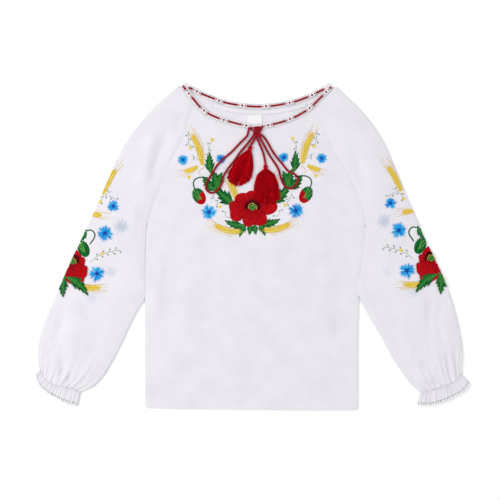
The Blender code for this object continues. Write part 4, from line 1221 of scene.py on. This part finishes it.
class StitchWork:
    """Stitches of one place, gathered before they are sewn onto the cloth. Motifs are drawn for
    the left half, and mirror and shift take them to where they go."""

    def __init__(self, seed):
        self.random = np.random.default_rng(seed)
        self.mirror = 1.0
        self.shift = (0.0, 0.0)
        self.stitches = []

    def aim(self, mirror, shift=(0.0, 0.0)):
        self.mirror, self.shift = mirror, shift

    def add(self, start, end, thread, width=1.0, lift=0.0):
        ends = [(self.mirror * x + self.shift[0], y + self.shift[1]) for x, y in (start, end)]
        self.stitches.append((*ends[0], *ends[1], width, lift, THREAD_NAMES.index(thread)))

    def ray(self, centre, angle, near, far, thread, width, lift):
        """A stitch that points away from a centre."""
        self.add(turned(angle, near, centre), turned(angle, far, centre), thread, width, lift)

    def run(self, curve, thread, width=0.8, lift=0.0, length=3.0, gap=0.0):
        """A line of stitches end to end along a curve, or with gaps between them."""
        total = curve_length(curve)
        count = max(1, round(total / (length + gap)))
        for k in range(count):
            ends = along(curve, [k / count, (k + length / (length + gap)) / count])
            self.add(ends[0], ends[1], thread, width, lift)

    def pick(self, threads):
        return threads[int(self.random.integers(len(threads)))]


def turned(angle, distance, centre=(0.0, 0.0)):
    return np.array((centre[0] + distance * math.cos(angle), centre[1] + distance * math.sin(angle)))


def bent_line(base, tip, bend, samples=24):
    """A line that bows to its left by a share of its length."""
    base, tip = np.array(base, float), np.array(tip, float)
    ahead = tip - base
    t = np.linspace(0, 1, samples)[:, None]
    return base + t * ahead + 4 * bend * t * (1 - t) * left_of(ahead)


def leaf(work, base, tip, width, bend, lift, teeth=5):
    """A toothed leaf in satin stitch: two slanting halves with pointed teeth, lighter by the rib."""
    rib = bent_line(base, tip, bend)
    length = curve_length(rib)
    count = int(length / STITCH_PITCH)
    ahead = unit(np.gradient(rib, axis=0))
    shares = np.linspace(0, 1, len(rib))

    def margin(t, side):
        tooth = (t * teeth) % 1.0
        taper = (t / 0.32) ** 0.5 if t < 0.32 else ((1 - t) / 0.68) ** 0.75
        half = width / 2 * taper * (0.72 + 0.5 * tooth ** 1.4)
        place = along(rib, [t + (1 - t) * (0.08 + 0.15 * tooth)])[0]
        direction = np.array([np.interp(t, shares, ahead[:, k]) for k in (0, 1)])
        return place + side * half * left_of(direction)

    for side in (-1, 1):
        for k in range(count):
            t = (k + 0.5) / count
            thread = work.pick(("green_dark", "green", "green_dark")[:2 if side > 0 else 3])
            start, end = along(rib, [t])[0], margin(t, side)
            work.add(start, end, thread, STITCH_WIDTH, lift)
            if k % 3 and t < 0.9:
                work.add(start, start + work.random.uniform(0.2, 0.6) * (end - start),
                         "green_mid", 0.9, lift + 0.3)
    work.run(rib, "green_mid", 0.85, lift + 0.4, 4.0)


def stem(work, points, lift=0.1):
    """A stem of two rows of stitches, the darker one on its left."""
    curve = smooth_curve(points, 6)
    work.run(curve, "green", 1.5, lift, 3.4)
    work.run(side_steps(curve, 1.0), "green_dark", 1.2, lift, 3.0)


def wheat_ear(work, base, tip, width, awns, bend):
    """An ear of wheat: pairs of plump grains up its axis, and long fine awns past them."""
    axis = bent_line(base, tip, bend)
    length = curve_length(axis)
    pairs = max(4, round(length / GRAIN_STEP))
    ahead = np.gradient(axis, axis=0)
    angles = np.unwrap(np.arctan2(ahead[:, 1], ahead[:, 0]))
    shares = np.linspace(0, 1, len(axis))
    work.run(axis, "ochre", 1.6, 0.0, 3.0)
    for k in range(pairs + 1):
        t = k / pairs
        root = along(axis, [t])[0]
        heading = float(np.interp(t, shares, angles))
        taper = math.sin(math.pi * (0.22 + 0.69 * t)) ** 0.8
        for side in ((-1, 1) if k < pairs else (0,)):
            out = heading + side * math.radians(GRAIN_ANGLE)
            grain = 6.4 * taper + 1.4
            plump = width * 0.42 * taper
            start = root + side * turned(heading + math.pi / 2, 0.08 * width)
            middle = start + turned(out, grain / 2)
            end = start + turned(out, grain)
            for step in (-2, -1, 0, 1, 2):
                shift = turned(out + math.pi / 2, step * plump / 4.2)
                belly = 1 - 0.12 * step * step
                thread = {-2: "ochre", 2: "ochre", 0: "straw"}.get(step, "yellow")
                work.add(middle + shift - belly * (middle - start) * 0.98,
                         middle + shift + belly * (end - middle) * 0.98, thread,
                         0.95, (0.25 if step == 0 else 0.1) + 0.02 * k)
            reach = awns * work.random.uniform(0.85, 1.2)
            far = end + turned(heading + side * math.radians(17 - 9 * t), reach)
            line = bent_line(end, far, 0.08 * side, 6)
            work.run(line, work.pick(("straw", "yellow", "yellow", "orange")), 0.5, 0.05, 9.0)
    work.run(bent_line(base, np.array(base) - 0.16 * (np.array(tip) - np.array(base)), 0.0, 4),
             "yellow", 0.9, 0.1, 3.0)


def cornflower(work, centre, radius):
    """A cornflower: ragged rays that widen outwards round a dark heart."""
    spin = work.random.uniform(0, 1)
    for k in range(CORNFLOWER_RAYS):
        heading = 2 * math.pi * (k + spin + work.random.uniform(-0.2, 0.2)) / CORNFLOWER_RAYS
        long = radius * work.random.uniform(0.84, 1.14)
        for step, share in ((-2, 0.84), (-1, 1.0), (0, 0.78), (1, 1.02), (2, 0.82)):
            angle = heading + step * math.radians(5.2)
            root = turned(heading + 0.1 * step, 0.2 * radius, centre)
            work.add(root, turned(angle, share * long, centre),
                     work.pick(("blue", "blue", "blue_light", "blue_light", "blue_mid")), 1.0,
                     0.12 + 0.04 * abs(step))
    for k in range(HEART_RAYS):
        work.ray(centre, 2 * math.pi * k / HEART_RAYS + 0.3, 0.06 * radius,
                 radius * work.random.uniform(0.34, 0.6),
                 "blue_mid" if k % 2 else "blue_deep", 0.9, 0.34)
    dot(work, centre, 0.16 * radius, "blue_deep", 0.5)


def dot(work, centre, radius, thread, lift=0.15):
    """A small disc in satin stitch."""
    count = max(2, round(2 * radius / STITCH_PITCH))
    for k in range(count):
        side = (2 * (k + 0.5) / count - 1) * radius
        half = math.sqrt(max(0.1, radius * radius - side * side))
        work.add((centre[0] - half, centre[1] + side), (centre[0] + half, centre[1] + side),
                 thread, STITCH_WIDTH, lift)


def little_flower(work, centre):
    """A small yellow flower: a disc with a darker heart."""
    dot(work, centre, 2.8, "straw")
    dot(work, centre, 1.2, "yellow", 0.4)


def sprig(work, points):
    """A fine dotted sprig with short twigs to both sides."""
    curve = smooth_curve(points, 6)
    work.run(curve, "green_pale", 0.75, 0.05, 2.4, 0.5)
    for k, t in enumerate(np.linspace(0.14, 0.9, max(2, round(curve_length(curve) / 6.5)))):
        ends = along(curve, [t, min(1.0, t + 0.05)])
        heading = math.atan2(*(ends[1] - ends[0])[::-1])
        twig = heading + (1 if k % 2 else -1) * math.radians(48)
        reach = work.random.uniform(3.4, 5.4)
        work.add(ends[0], ends[0] + turned(twig, reach), "green_pale", 0.6, 0.05)
        for turn in (-0.4, 0.5):
            bract = ends[0] + turned(twig, reach)
            work.add(bract, bract + turned(twig + turn, 2.5), "green_sprig", 1.1, 0.1)


def bud(work, centre, length, width, tilt, opening, stem_points):
    """A nodding poppy bud on an arched stem: two hairy green sepals, and red where they part.
    opening is how much of it is red."""
    stem(work, stem_points)
    axis = math.radians(tilt)
    count = int(width / STITCH_PITCH)

    def line_at(v):
        """The offset and the half length of the bud's line at v, from -1 to 1 across it."""
        return turned(axis + math.pi / 2, v * width / 2), length / 2 * math.sqrt(1 - v * v)

    for k in range(count):
        v = 2 * (k + 0.5) / count - 1
        side, half = line_at(v)
        low, high = turned(axis, -half) + side + centre, turned(axis, half) + side + centre
        share = min(1.0, max(0.12, 1.22 - 1.1 * opening - 0.62 * opening * v))
        if share < 0.98:
            work.add(low + (share - 0.08) * (high - low), high,
                     work.pick(("poppy", "poppy_bright")), STITCH_WIDTH, 0.15)
        green_to = low + share * (high - low)
        middle = (low + green_to) / 2
        for a, b in ((low, middle), (middle, green_to)):
            work.add(a, b, work.pick(("green", "green_dark", "green")), STITCH_WIDTH, 0.4)
        if k % 3 == 0:
            work.add(low, low + turned(axis + math.pi - 0.5 * v, 1.8), "green_dark", 0.5, 0.2)
    for v in (-0.7, -0.25, 0.2):
        side, half = line_at(v)
        low = turned(axis, -0.86 * half) + side + centre
        high = low + turned(axis - 0.3 * v, 1.3 * half)
        work.run(bent_line(low, high, -0.1 * v, 8), "green_vein", 0.95, 0.75, 4.0)


def petal(work, centre, heading, spread, length, ruffle, lift):
    """A poppy petal in long and short stitch: three rows that brighten towards a ruffled edge,
    with a dark fold at each side."""
    heading, spread = math.radians(heading), math.radians(spread)
    for level, (near, far, threads) in enumerate(PETAL_ROWS):
        count = int(2 * spread * length * (0.35 * near + 0.65 * far) / STITCH_PITCH)
        for k in range(count):
            u = 2 * (k + 0.5) / count - 1
            edge = length * (1 - 0.26 * abs(u) ** 2.6 + 0.05 * math.sin(4.6 * u + ruffle))
            bow = 0.1 * math.sin(2.2 * u + ruffle)
            start = edge * (near + work.random.uniform(-0.05, 0.05))
            end = edge * (far - (0 if level == 2 else work.random.uniform(0, 0.1)))
            crease = abs(u) > 0.93 or (level < 2 and abs(u - 0.3 * math.sin(ruffle)) < 0.03)
            thread = "poppy_deep" if crease else work.pick(threads)
            work.add(turned(heading + u * spread * 0.93, start, centre),
                     turned(heading + u * spread + bow * (far - near), end, centre), thread,
                     STITCH_WIDTH, lift + 0.08 * level)


def poppy(work, centre, petals, heart=1.0):
    """A poppy of overlapping petals round a dark heart with a green pod and yellow stamens."""
    for layer, row in enumerate(petals):
        petal(work, centre, row.heading, row.spread, row.length, row.ruffle, 0.15 + 0.22 * layer)
    top = 0.3 + 0.22 * len(petals)
    for k in range(HEART_STITCHES):
        far = heart * 14.0 * work.random.uniform(0.72, 1.05)
        work.ray(centre, math.pi * (-0.06 + 1.12 * k / (HEART_STITCHES - 1)), heart * 2.6, far,
                 work.pick(("poppy_dark", "poppy_dark", "black")), 1.0, top)
    for k in range(HEART_RIM):
        work.ray(centre, math.pi * (1 + k / (HEART_RIM - 1)), heart * 2.6,
                 heart * work.random.uniform(4.6, 6.2), "poppy_dark", 0.8, top)
    for k in range(STAMENS):
        angle = math.pi * (-0.12 + 1.24 * (k + work.random.uniform(-0.25, 0.25)) / STAMENS)
        reach = heart * work.random.uniform(5.6, 7.8)
        work.add(turned(angle - 0.09, reach, centre), turned(angle + 0.09, reach, centre),
                 work.pick(("straw", "yellow", "ochre")), 0.9, top + 0.3)
    dot(work, centre, heart * 4.6, "green_light", top + 0.3)
    for k in range(4):
        work.ray(centre, math.pi * k / 4 + 0.4, -heart * 3.8, heart * 3.8, "green", 1.0, top + 0.6)


def sew(name, work, targets):
    """Lays every stitch of a work on the targets' upper surfaces as a rounded ridge of thread. A
    stitch that runs off the cloth ends at its edge."""
    depsgraph = bpy.context.evaluated_depsgraph_get()
    trees = [BVHTree.FromObject(bpy.data.objects[target], depsgraph) for target in targets]
    down = Vector((0.0, 0.0, -1.0))

    def height(x, y):
        hits = [tree.ray_cast(Vector((x * MM, y * MM, 0.05)), down)[0] for tree in trees]
        found = [hit.z / MM for hit in hits if hit is not None]
        return max(found) if found else None

    rows, heights = [], []
    for row in work.stitches:
        ends = np.array(row[:4]).reshape(2, 2)
        shares = np.linspace(0, 1, 5)
        places = ends[0] + shares[:, None] * (ends[1] - ends[0])
        found = [height(*place) for place in places]
        hit = [k for k, z in enumerate(found) if z is not None]
        if len(hit) < 2:
            continue
        first, last = hit[0], hit[-1]
        middle = (places[first] + places[last]) / 2
        rows.append((*places[first], *middle, *places[last], *row[4:]))
        centre = height(*middle)
        inner = [found[k] for k in hit]
        heights.append((found[first], centre if centre is not None else max(inner), found[last]))
    sewn, surface = np.array(rows), np.array(heights)
    stations = sewn[:, :6].reshape(-1, 3, 2)
    width, lift, thread = sewn[:, 6], sewn[:, 7], sewn[:, 8].astype(int)
    ahead = stations[:, 2] - stations[:, 0]
    ahead /= np.maximum(np.linalg.norm(ahead, axis=1), 1e-6)[:, None]
    left = left_of(ahead)[:, None, None, :]
    across = np.array((-1.0, 0.0, 1.0))
    half = 0.5 * width[:, None] * np.array((0.7, 1.0, 0.7))
    plan = stations[:, :, None, :] + (half[..., None] * across)[..., None] * left
    crown = np.array((0.35, 1.0, 0.35))[None, :, None] * np.array((0.0, 1.0, 0.0)) * STITCH_HEIGHT
    z = surface[:, :, None] + (0.06 + lift)[:, None, None] + crown
    vertices = np.concatenate([plan, z[..., None]], axis=-1).reshape(-1, 3)
    count = len(sewn)
    quad = np.array([(0, 3, 4, 1), (1, 4, 5, 2), (3, 6, 7, 4), (4, 7, 8, 5)])
    faces = (np.arange(count)[:, None, None] * 9 + quad).reshape(-1, 4)
    mesh = new_mesh(name, vertices, faces.tolist())
    used = sorted(set(thread.tolist()))
    for index in used:
        mesh.materials.append(made_material(EMBROIDERY + THREAD_NAMES[index]))
    slots = np.array([used.index(index) for index in thread], dtype=np.int32)
    mesh.polygons.foreach_set("material_index", np.repeat(slots, 4))
    made = place_object(name, mesh)
    set_values(made, "stitch_tone", np.repeat(work.random.uniform(0, 1, count), 9))


def small_motifs(work, ears, sprigs, leaves, cornflowers, little_flowers, one_bud):
    """All of a place's motifs but its poppy."""
    for row in ears:
        wheat_ear(work, *row)
    for points in sprigs:
        sprig(work, points)
    for row in leaves:
        leaf(work, *row)
    for row in cornflowers:
        cornflower(work, *row)
    for centre in little_flowers:
        little_flower(work, centre)
    bud(work, *one_bud)


def front_embroidery():
    work = StitchWork(11)
    for mirror, higher in ((1.0, 0.0), (-1.0, 2.4)):
        work.aim(mirror, (0.0, higher))
        small_motifs(work, FRONT_EARS, FRONT_SPRIGS, FRONT_LEAVES, FRONT_CORNFLOWERS,
                     FRONT_LITTLE_FLOWERS, FRONT_BUD)
        work.run(smooth_curve(FRONT_TENDRIL, 6), "ochre", 0.9, 0.1, 3.0)
    work.aim(1.0)
    for row in FRONT_MIDDLE_LEAVES:
        leaf(work, *row)
    poppy(work, FRONT_POPPY, FRONT_PETALS)
    sew("front_embroidery", work, ["front_cloth"])


def sleeve_embroidery(side):
    work = StitchWork(23 if side == "left" else 29)
    if side == "right":
        work.aim(-1.0, SLEEVE_MIRROR_SHIFT)
    small_motifs(work, SLEEVE_EARS, SLEEVE_SPRIGS, SLEEVE_LEAVES, SLEEVE_CORNFLOWERS,
                 SLEEVE_LITTLE_FLOWERS, SLEEVE_BUD)
    poppy(work, SLEEVE_POPPY, SLEEVE_PETALS, 0.9)
    sew(side + "_sleeve_embroidery", work, [side + "_sleeve_cloth"])


def neck_edges():
    """The front's and the back's neck edges, each from one folded corner to the other."""
    return [neck_edge(body_lattice(*panel, 60)[-1], panel[0]) for panel in (FRONT, BACK)]


def sewing():
    """Lockstitch on the hem and the facing, two gathering rows on each cuff, a row where the lace
    joins the neck, and a row at each side of the label."""
    work = StitchWork(5)

    def row(curve, length=2.1):
        work.run(np.asarray(curve, float), "white", 0.6, 0.05, length, 0.8)

    (x1, y1), (x2, y2) = HEM_LINE
    row(((x1 + 1.5, y1 - 1.8), (x2 - 1.5, y2 - 1.8)))
    for cuff in (LEFT_CUFF, RIGHT_CUFF):
        gather, edge, _ = cuff_curves(cuff)
        for depth_share in (0.07, 0.2):
            row(frill_place(gather, edge, np.linspace(0.03, 0.97, 60), depth_share), 1.7)
    for edge in neck_edges():
        row(side_steps(edge, -1.3)[2:-2])
    row(side_steps(facing_span(), -SEAM_GAP - FACING_WIDTH + 1.1))
    for x in (LABEL_LEFT + 1.2, LABEL_RIGHT - 1.2):
        row(((x, 206.0), (x, 215.5)), 1.6)
    sew("seam_stitches", work, [
        "front_cloth", "back_cloth", "left_sleeve_cloth", "right_sleeve_cloth",
        "left_cuff_frill", "right_cuff_frill", "back_neck_facing", "neck_label_bare"])


class BLOUSE_OT_stage(bpy.types.Operator):
    """Adds the pale table, the soft studio lights and the camera overhead"""
    bl_idname = "blouse.stage"
    bl_label = "Stage"

    def execute(self, context):
        scene = context.scene
        scene.view_settings.view_transform = "Standard"
        bpy.ops.mesh.primitive_plane_add(size=6.0, location=(0, 0, -0.0004))
        table = context.active_object
        table.name = "studio_table"
        # Laminate, pressed smooth: a pale matt top with a very faint mottle
        tree, shader = start_material("laminate_table_pressed", Roughness=0.9)
        pale = scene.blouse_colours.floor
        mottle = mixed(tree, noise(tree, object_place(tree), 3.0, 2.0), opaque(pale),
                       opaque(darker(pale, 0.99)))
        tree.links.new(mottle, shader.inputs["Base Color"])
        table.data.materials.append(bpy.data.materials["laminate_table_pressed"])
        world = scene.world or bpy.data.worlds.new("studio")
        scene.world = world
        world.use_nodes = True
        sky = world.node_tree.nodes["Background"]
        sky.inputs["Color"].default_value = (1.0, 1.0, 1.0, 1.0)
        sky.inputs["Strength"].default_value = SKY_STRENGTH
        for row in LIGHTS:
            light = bpy.data.lights.new(row.name, "AREA")
            light.shape = "SQUARE"
            light.size = row.size
            light.energy = row.power
            holder = bpy.data.objects.new(row.name, light)
            holder.location = row.place
            holder.rotation_euler = (-Vector(row.place)).to_track_quat("-Z", "Y").to_euler()
            scene.collection.objects.link(holder)
        camera = bpy.data.cameras.new("overhead_camera")
        camera.lens = LENS
        camera.sensor_width = SENSOR
        holder = bpy.data.objects.new("overhead_camera", camera)
        height = PHOTO_FIELD * LENS / SENSOR + FRONT_TOP
        holder.location = (PHOTO_CENTRE[0] * MM, PHOTO_CENTRE[1] * MM, height * MM)
        scene.collection.objects.link(holder)
        scene.camera = holder
        return {"FINISHED"}


def twisted_tube(points, radius, strands=3, sides=12):
    """Vertices and faces of a cord of twisted strands along a line of points, with closed ends."""
    ahead = unit(np.gradient(points, axis=0))
    side = unit(np.cross(np.array((0.0, 0.0, 1.0)), ahead))
    up = np.cross(ahead, side)
    pitch = bpy.context.scene.blouse_sizes.twist / MM
    angle = np.linspace(0, 2 * math.pi, sides, endpoint=False)[None, :]
    lobe = np.abs(np.cos(strands / 2 * (angle - 2 * math.pi * run_along(points)[:, None] / pitch)))
    reach = radius * (0.83 + 0.2 * lobe)
    rings = (points[:, None, :] + (reach * np.cos(angle))[..., None] * side[:, None, :]
             + (reach * np.sin(angle))[..., None] * up[:, None, :])
    faces = grid_faces(len(points), sides, ring=True)
    last = (len(points) - 1) * sides
    faces += [tuple(range(sides)), tuple(range(last, last + sides))]
    return rings.reshape(-1, 3), faces


def join_parts(parts):
    """Vertices and faces of several parts as one."""
    vertices, faces, start = [], [], 0
    for part_vertices, part_faces in parts:
        vertices.append(part_vertices)
        faces += [tuple(v + start for v in face) for face in part_faces]
        start += len(part_vertices)
    return np.concatenate(vertices), faces


def drawstring(side, route, node_names):
    """One free end of the drawstring, from its slot in the lace to its tassel."""
    line = smooth_curve(route, 10)
    tube = twisted_tube(evenly(line, CORD_STEP), CORD_RADIUS + 1.5 * LOOSER)
    made = make_object("drawstring_" + side, tube, CORD, node_names)
    path = [tuple(MM * c for c in point) for point in evenly(line, 4.0)]
    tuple(path[0])
    curve_length(line) * MM


def knot():
    """The bow's knot: the cord wound round itself, with strands over it to the lace's slots."""
    t = np.linspace(0, 1, 150)
    angle = 2 * math.pi * KNOT_TURNS * t + 0.6
    swell = np.sin(math.pi * (0.12 + 0.76 * t))
    middle_z = FRONT_TOP + 0.6 + KNOT_HALF[2]
    wound = np.stack([KNOT_CENTRE[0] + (KNOT_HALF[0] - 1.3) * swell * np.cos(angle),
                      KNOT_CENTRE[1] + (1 - 2 * t) * (KNOT_HALF[1] - 2.2)
                      + 1.1 * np.cos(angle + 0.8),
                      middle_z + (KNOT_HALF[2] - 1.35) * swell * np.sin(angle)], axis=1)
    lines = [wound] + [evenly(smooth_curve(strand), CORD_STEP) for strand in KNOT_STRANDS]
    return make_object("bow_knot_wound", join_parts([twisted_tube(line, KNOT_CORD_RADIUS)
                                                     for line in lines]),
                       CORD, ["bow_knot"])


def tassel(spec, threads):
    """A tassel of fine threads that spread flat on the cloth below a bound head."""
    rng = np.random.default_rng(7 + len(spec.name))
    ahead = np.array((*spec.direction, 0.0))
    ahead /= np.linalg.norm(ahead)
    across = np.array((-ahead[1], ahead[0], 0.0))
    up = np.array((0.0, 0.0, 1.0))
    rest = FRONT_TOP + 0.75
    neck_z = rest + 2.3
    corners = [2 * math.pi * k / 3 + math.pi / 2 for k in range(3)]
    widths = [[getattr(row, column) for row in TASSEL_WIDTHS] for column in ("along", spec.widths)]
    parts = []
    stations = np.array((-6.4, -5.2, -3.2, -1.2, 0.0, 2.0, 5.0, 10.0, 17.0, 26.0, 0.0, 0.0, 0.0))
    for _ in range(threads):
        share = rng.uniform(-0.5, 0.5)
        layer = rng.uniform(0, 1) * (1 - 0.5 * abs(2 * share) ** 2)
        end = spec.length * (0.995 - 0.5 * share ** 2 - spec.slant * max(0.0, share)
                             - 0.22 * rng.uniform() ** 2)
        d = stations.copy()
        d[-3:] = (0.6 * end, 0.82 * end, end)
        wide = np.interp(d, *widths) * share
        bulge = np.interp(d, (-6.4, -5.2, -3.2, -1.2, 0.0), (0.5, 1.05, 1.25, 0.95, 0.95))
        wide = np.where(d < 0.5, 5.6 * share * bulge, wide)
        stray = 3.2 if rng.uniform() < 0.06 else 0.75
        wander = rng.normal(0, stray) * np.clip(d / 50, 0, 1) ** 1.6
        curl = rng.normal(0, 0.5) * np.sin(np.clip(d, 0, 90) / (9 + 8 * rng.uniform())) \
            * np.clip(d / 30, 0, 1)
        head_height = (layer - 0.35) * 4.6 * bulge * math.sqrt(max(0.05, 1 - (2 * share) ** 2))
        settle = np.clip((d - 1.0) / 20, 0, 1) ** 0.7
        height = ((neck_z - rest + head_height) * (1 - settle)
                  + settle * (0.15 + layer * np.interp(d, (0, 20, 64), (4.6, 4.0, 2.6))))
        centre = (np.array((*spec.head, rest)) + d[:, None] * ahead
                  + (wide + wander + curl)[:, None] * across + height[:, None] * up)
        ring = [centre + TASSEL_THREAD_RADIUS * math.cos(a) * across
                + TASSEL_THREAD_RADIUS * math.sin(a) * up for a in corners]
        faces = grid_faces(len(d), 3, ring=True)
        faces += [(0, 1, 2), (3 * len(d) - 3, 3 * len(d) - 2, 3 * len(d) - 1)]
        parts.append((np.stack(ring, axis=1).reshape(-1, 3), faces))
    t = np.linspace(0, 2 * math.pi, RING_POINTS)
    for k in range(BINDING_TURNS):
        d = -1.9 + 0.62 * k
        loop = (np.array((*spec.head, neck_z)) + d * ahead
                + (3.1 * np.cos(t))[:, None] * across + (2.5 * np.sin(t))[:, None] * up)
        parts.append(bound_ring(loop, 0.38))
    made = make_object(spec.name + "_threads", join_parts(parts), TASSEL_THREAD, [spec.name])
    set_values(made, "thread_tone", np.concatenate([
        np.full(len(part[0]), rng.uniform(-0.2, 0.12)) for part in parts]))
    return made


def bound_ring(loop, radius, sides=6):
    """A closed ring of thread along a loop whose last point is its first."""
    points = loop[:-1]
    ahead = unit(np.roll(points, -1, axis=0) - np.roll(points, 1, axis=0))
    out = unit(points - points.mean(axis=0))
    other = np.cross(ahead, out)
    a = np.linspace(0, 2 * math.pi, sides, endpoint=False)
    rings = (points[:, None, :] + radius * np.cos(a)[None, :, None] * out[:, None, :]
             + radius * np.sin(a)[None, :, None] * other[:, None, :])
    count = len(points)
    faces = [tuple(v % (count * sides) for v in face)
             for face in grid_faces(count + 1, sides, ring=True)]
    return rings.reshape(-1, 3), faces


class BLOUSE_OT_drawstring(bpy.types.Operator):
    """Makes the bow: its two ends of twisted cord, its knot and its two tassels"""
    bl_idname = "blouse.drawstring"
    bl_label = "Drawstring, knot and tassels"

    def execute(self, context):
        threads = context.scene.blouse_sizes.tassel_threads
        left, right = (tassel(spec, threads) for spec in TASSELS)
        wound = knot()
        drawstring("left", LEFT_ROUTE, ("cord_loop_left", "cord_tail_left"))
        drawstring("right", RIGHT_ROUTE,
                   ("cord_exit_right", "cord_loop_right", "cord_tail_right"))
        return {"FINISHED"}


class BLOUSE_OT_body(bpy.types.Operator):
    """Makes the front and the back of the body, with their creases and hems"""
    bl_idname = "blouse.body"
    bl_label = "Front and back"

    def execute(self, context):
        declare_cloth(back_cloth(), "back_panel", *BACK_CUT, ["studio_table"])
        declare_cloth(front_cloth(), "front_panel", *FRONT_CUT, ["back_cloth"])
        return {"FINISHED"}


class BLOUSE_OT_sleeves(bpy.types.Operator):
    """Makes the two raglan sleeves with their creases"""
    bl_idname = "blouse.sleeves"
    bl_label = "Sleeves"

    def execute(self, context):
        for side, sections, cuff, folds, ghosts in (
                ("left", LEFT_SLEEVE, LEFT_CUFF, LEFT_SLEEVE_FOLDS, LEFT_GHOSTS),
                ("right", RIGHT_SLEEVE, RIGHT_CUFF, RIGHT_SLEEVE_FOLDS, RIGHT_GHOSTS)):
            declare_cloth(sleeve_cloth(side, sections, cuff, folds, ghosts), "sleeve_" + side,
                          *SLEEVE_CUT, ["studio_table"])
        return {"FINISHED"}


class BLOUSE_OT_cuffs(bpy.types.Operator):
    """Makes the gathered cuff frills and the eyelet lace along their edges"""
    bl_idname = "blouse.cuffs"
    bl_label = "Cuffs"

    def execute(self, context):
        for side, cuff in (("left", LEFT_CUFF), ("right", RIGHT_CUFF)):
            frill = cuff_frill(side, cuff)
            declare_cloth(frill, "cuff_frill_" + side, *FRILL_CUT, ["studio_table"], "gathered")
            cuff_lace(side, cuff)
        return {"FINISHED"}


class BLOUSE_OT_neck(bpy.types.Operator):
    """Makes the neck's beading lace, the drawstring in it, the facing and the bare label"""
    bl_idname = "blouse.neck"
    bl_label = "Neck"

    def execute(self, context):
        edges = dict(zip(("front", "back"), neck_edges()))
        tops = {"front": FRONT_TOP, "back": CLOTH}
        for side, dots in (("front", FRONT_DOTS), ("back", BACK_DOTS)):
            neck_lace(side, edges[side], tops[side], *dots)
        for row in NECK_CORDS:
            neck_cord(row, edges[row.side], cord_height(tops[row.side]))
        span = facing_span()
        facing_rows = [side_steps(span, -SEAM_GAP - width) for width in (FACING_WIDTH, 0.0)]
        facing = neck_strip("back_neck_facing", "neck_facing", facing_rows,
                            FACING_THICKNESS, COTTON)
        length = curve_length(span)
        x = np.linspace(LABEL_LEFT, LABEL_RIGHT, 14)
        lace_edge = side_steps(edges["front"], SEAM_GAP + LACE_WIDTH)
        label_top = side_steps(span, -SEAM_GAP - FACING_WIDTH - SEAM_GAP)
        rows = [np.column_stack([x, np.interp(x, edge[:, 0], edge[:, 1]) + gap])
                for edge, gap in ((lace_edge, SEAM_GAP), (label_top, 0.0))]
        label = neck_strip("neck_label_bare", "neck_label", rows, LABEL_THICKNESS, LABEL)
        return {"FINISHED"}


class BLOUSE_OT_sewing(bpy.types.Operator):
    """Sews the visible rows of stitches on the hem, the cuffs, the neck and the label"""
    bl_idname = "blouse.sewing"
    bl_label = "Sewing"

    def execute(self, context):
        sewing()
        return {"FINISHED"}


class BLOUSE_OT_embroidery(bpy.types.Operator):
    """Embroiders the front and both sleeves, stitch by stitch"""
    bl_idname = "blouse.embroidery"
    bl_label = "Embroidery"

    def execute(self, context):
        front_embroidery()
        sleeve_embroidery("left")
        sleeve_embroidery("right")
        return {"FINISHED"}


OPERATORS = (BLOUSE_OT_stage, BLOUSE_OT_drawstring, BLOUSE_OT_body, BLOUSE_OT_sleeves,
             BLOUSE_OT_cuffs, BLOUSE_OT_neck, BLOUSE_OT_sewing, BLOUSE_OT_embroidery)


class BLOUSE_PT_pieces(bpy.types.Panel):
    """Lists the blouse's pieces in the sidebar"""
    bl_label = "Blouse"
    bl_space_type = "VIEW_3D"
    bl_region_type = "UI"
    bl_category = "Blouse"

    def draw(self, context):
        for group in (context.scene.blouse_colours, context.scene.blouse_sizes):
            for name in group.__annotations__:
                self.layout.prop(group, name)
        for operator in OPERATORS:
            self.layout.operator(operator.bl_idname)


CLASSES = (BlouseColours, BlouseSizes, *OPERATORS, BLOUSE_PT_pieces)


def register():
    for item in CLASSES:
        bpy.utils.register_class(item)
    bpy.types.Scene.blouse_colours = bpy.props.PointerProperty(type=BlouseColours)
    bpy.types.Scene.blouse_sizes = bpy.props.PointerProperty(type=BlouseSizes)


def unregister():
    del bpy.types.Scene.blouse_colours
    del bpy.types.Scene.blouse_sizes
    for item in reversed(CLASSES):
        bpy.utils.unregister_class(item)


def main():
    register()
    for operator in OPERATORS:
        group, name = operator.bl_idname.split(".")
        getattr(getattr(bpy.ops, group), name)()


if __name__ == "__main__":
    main()
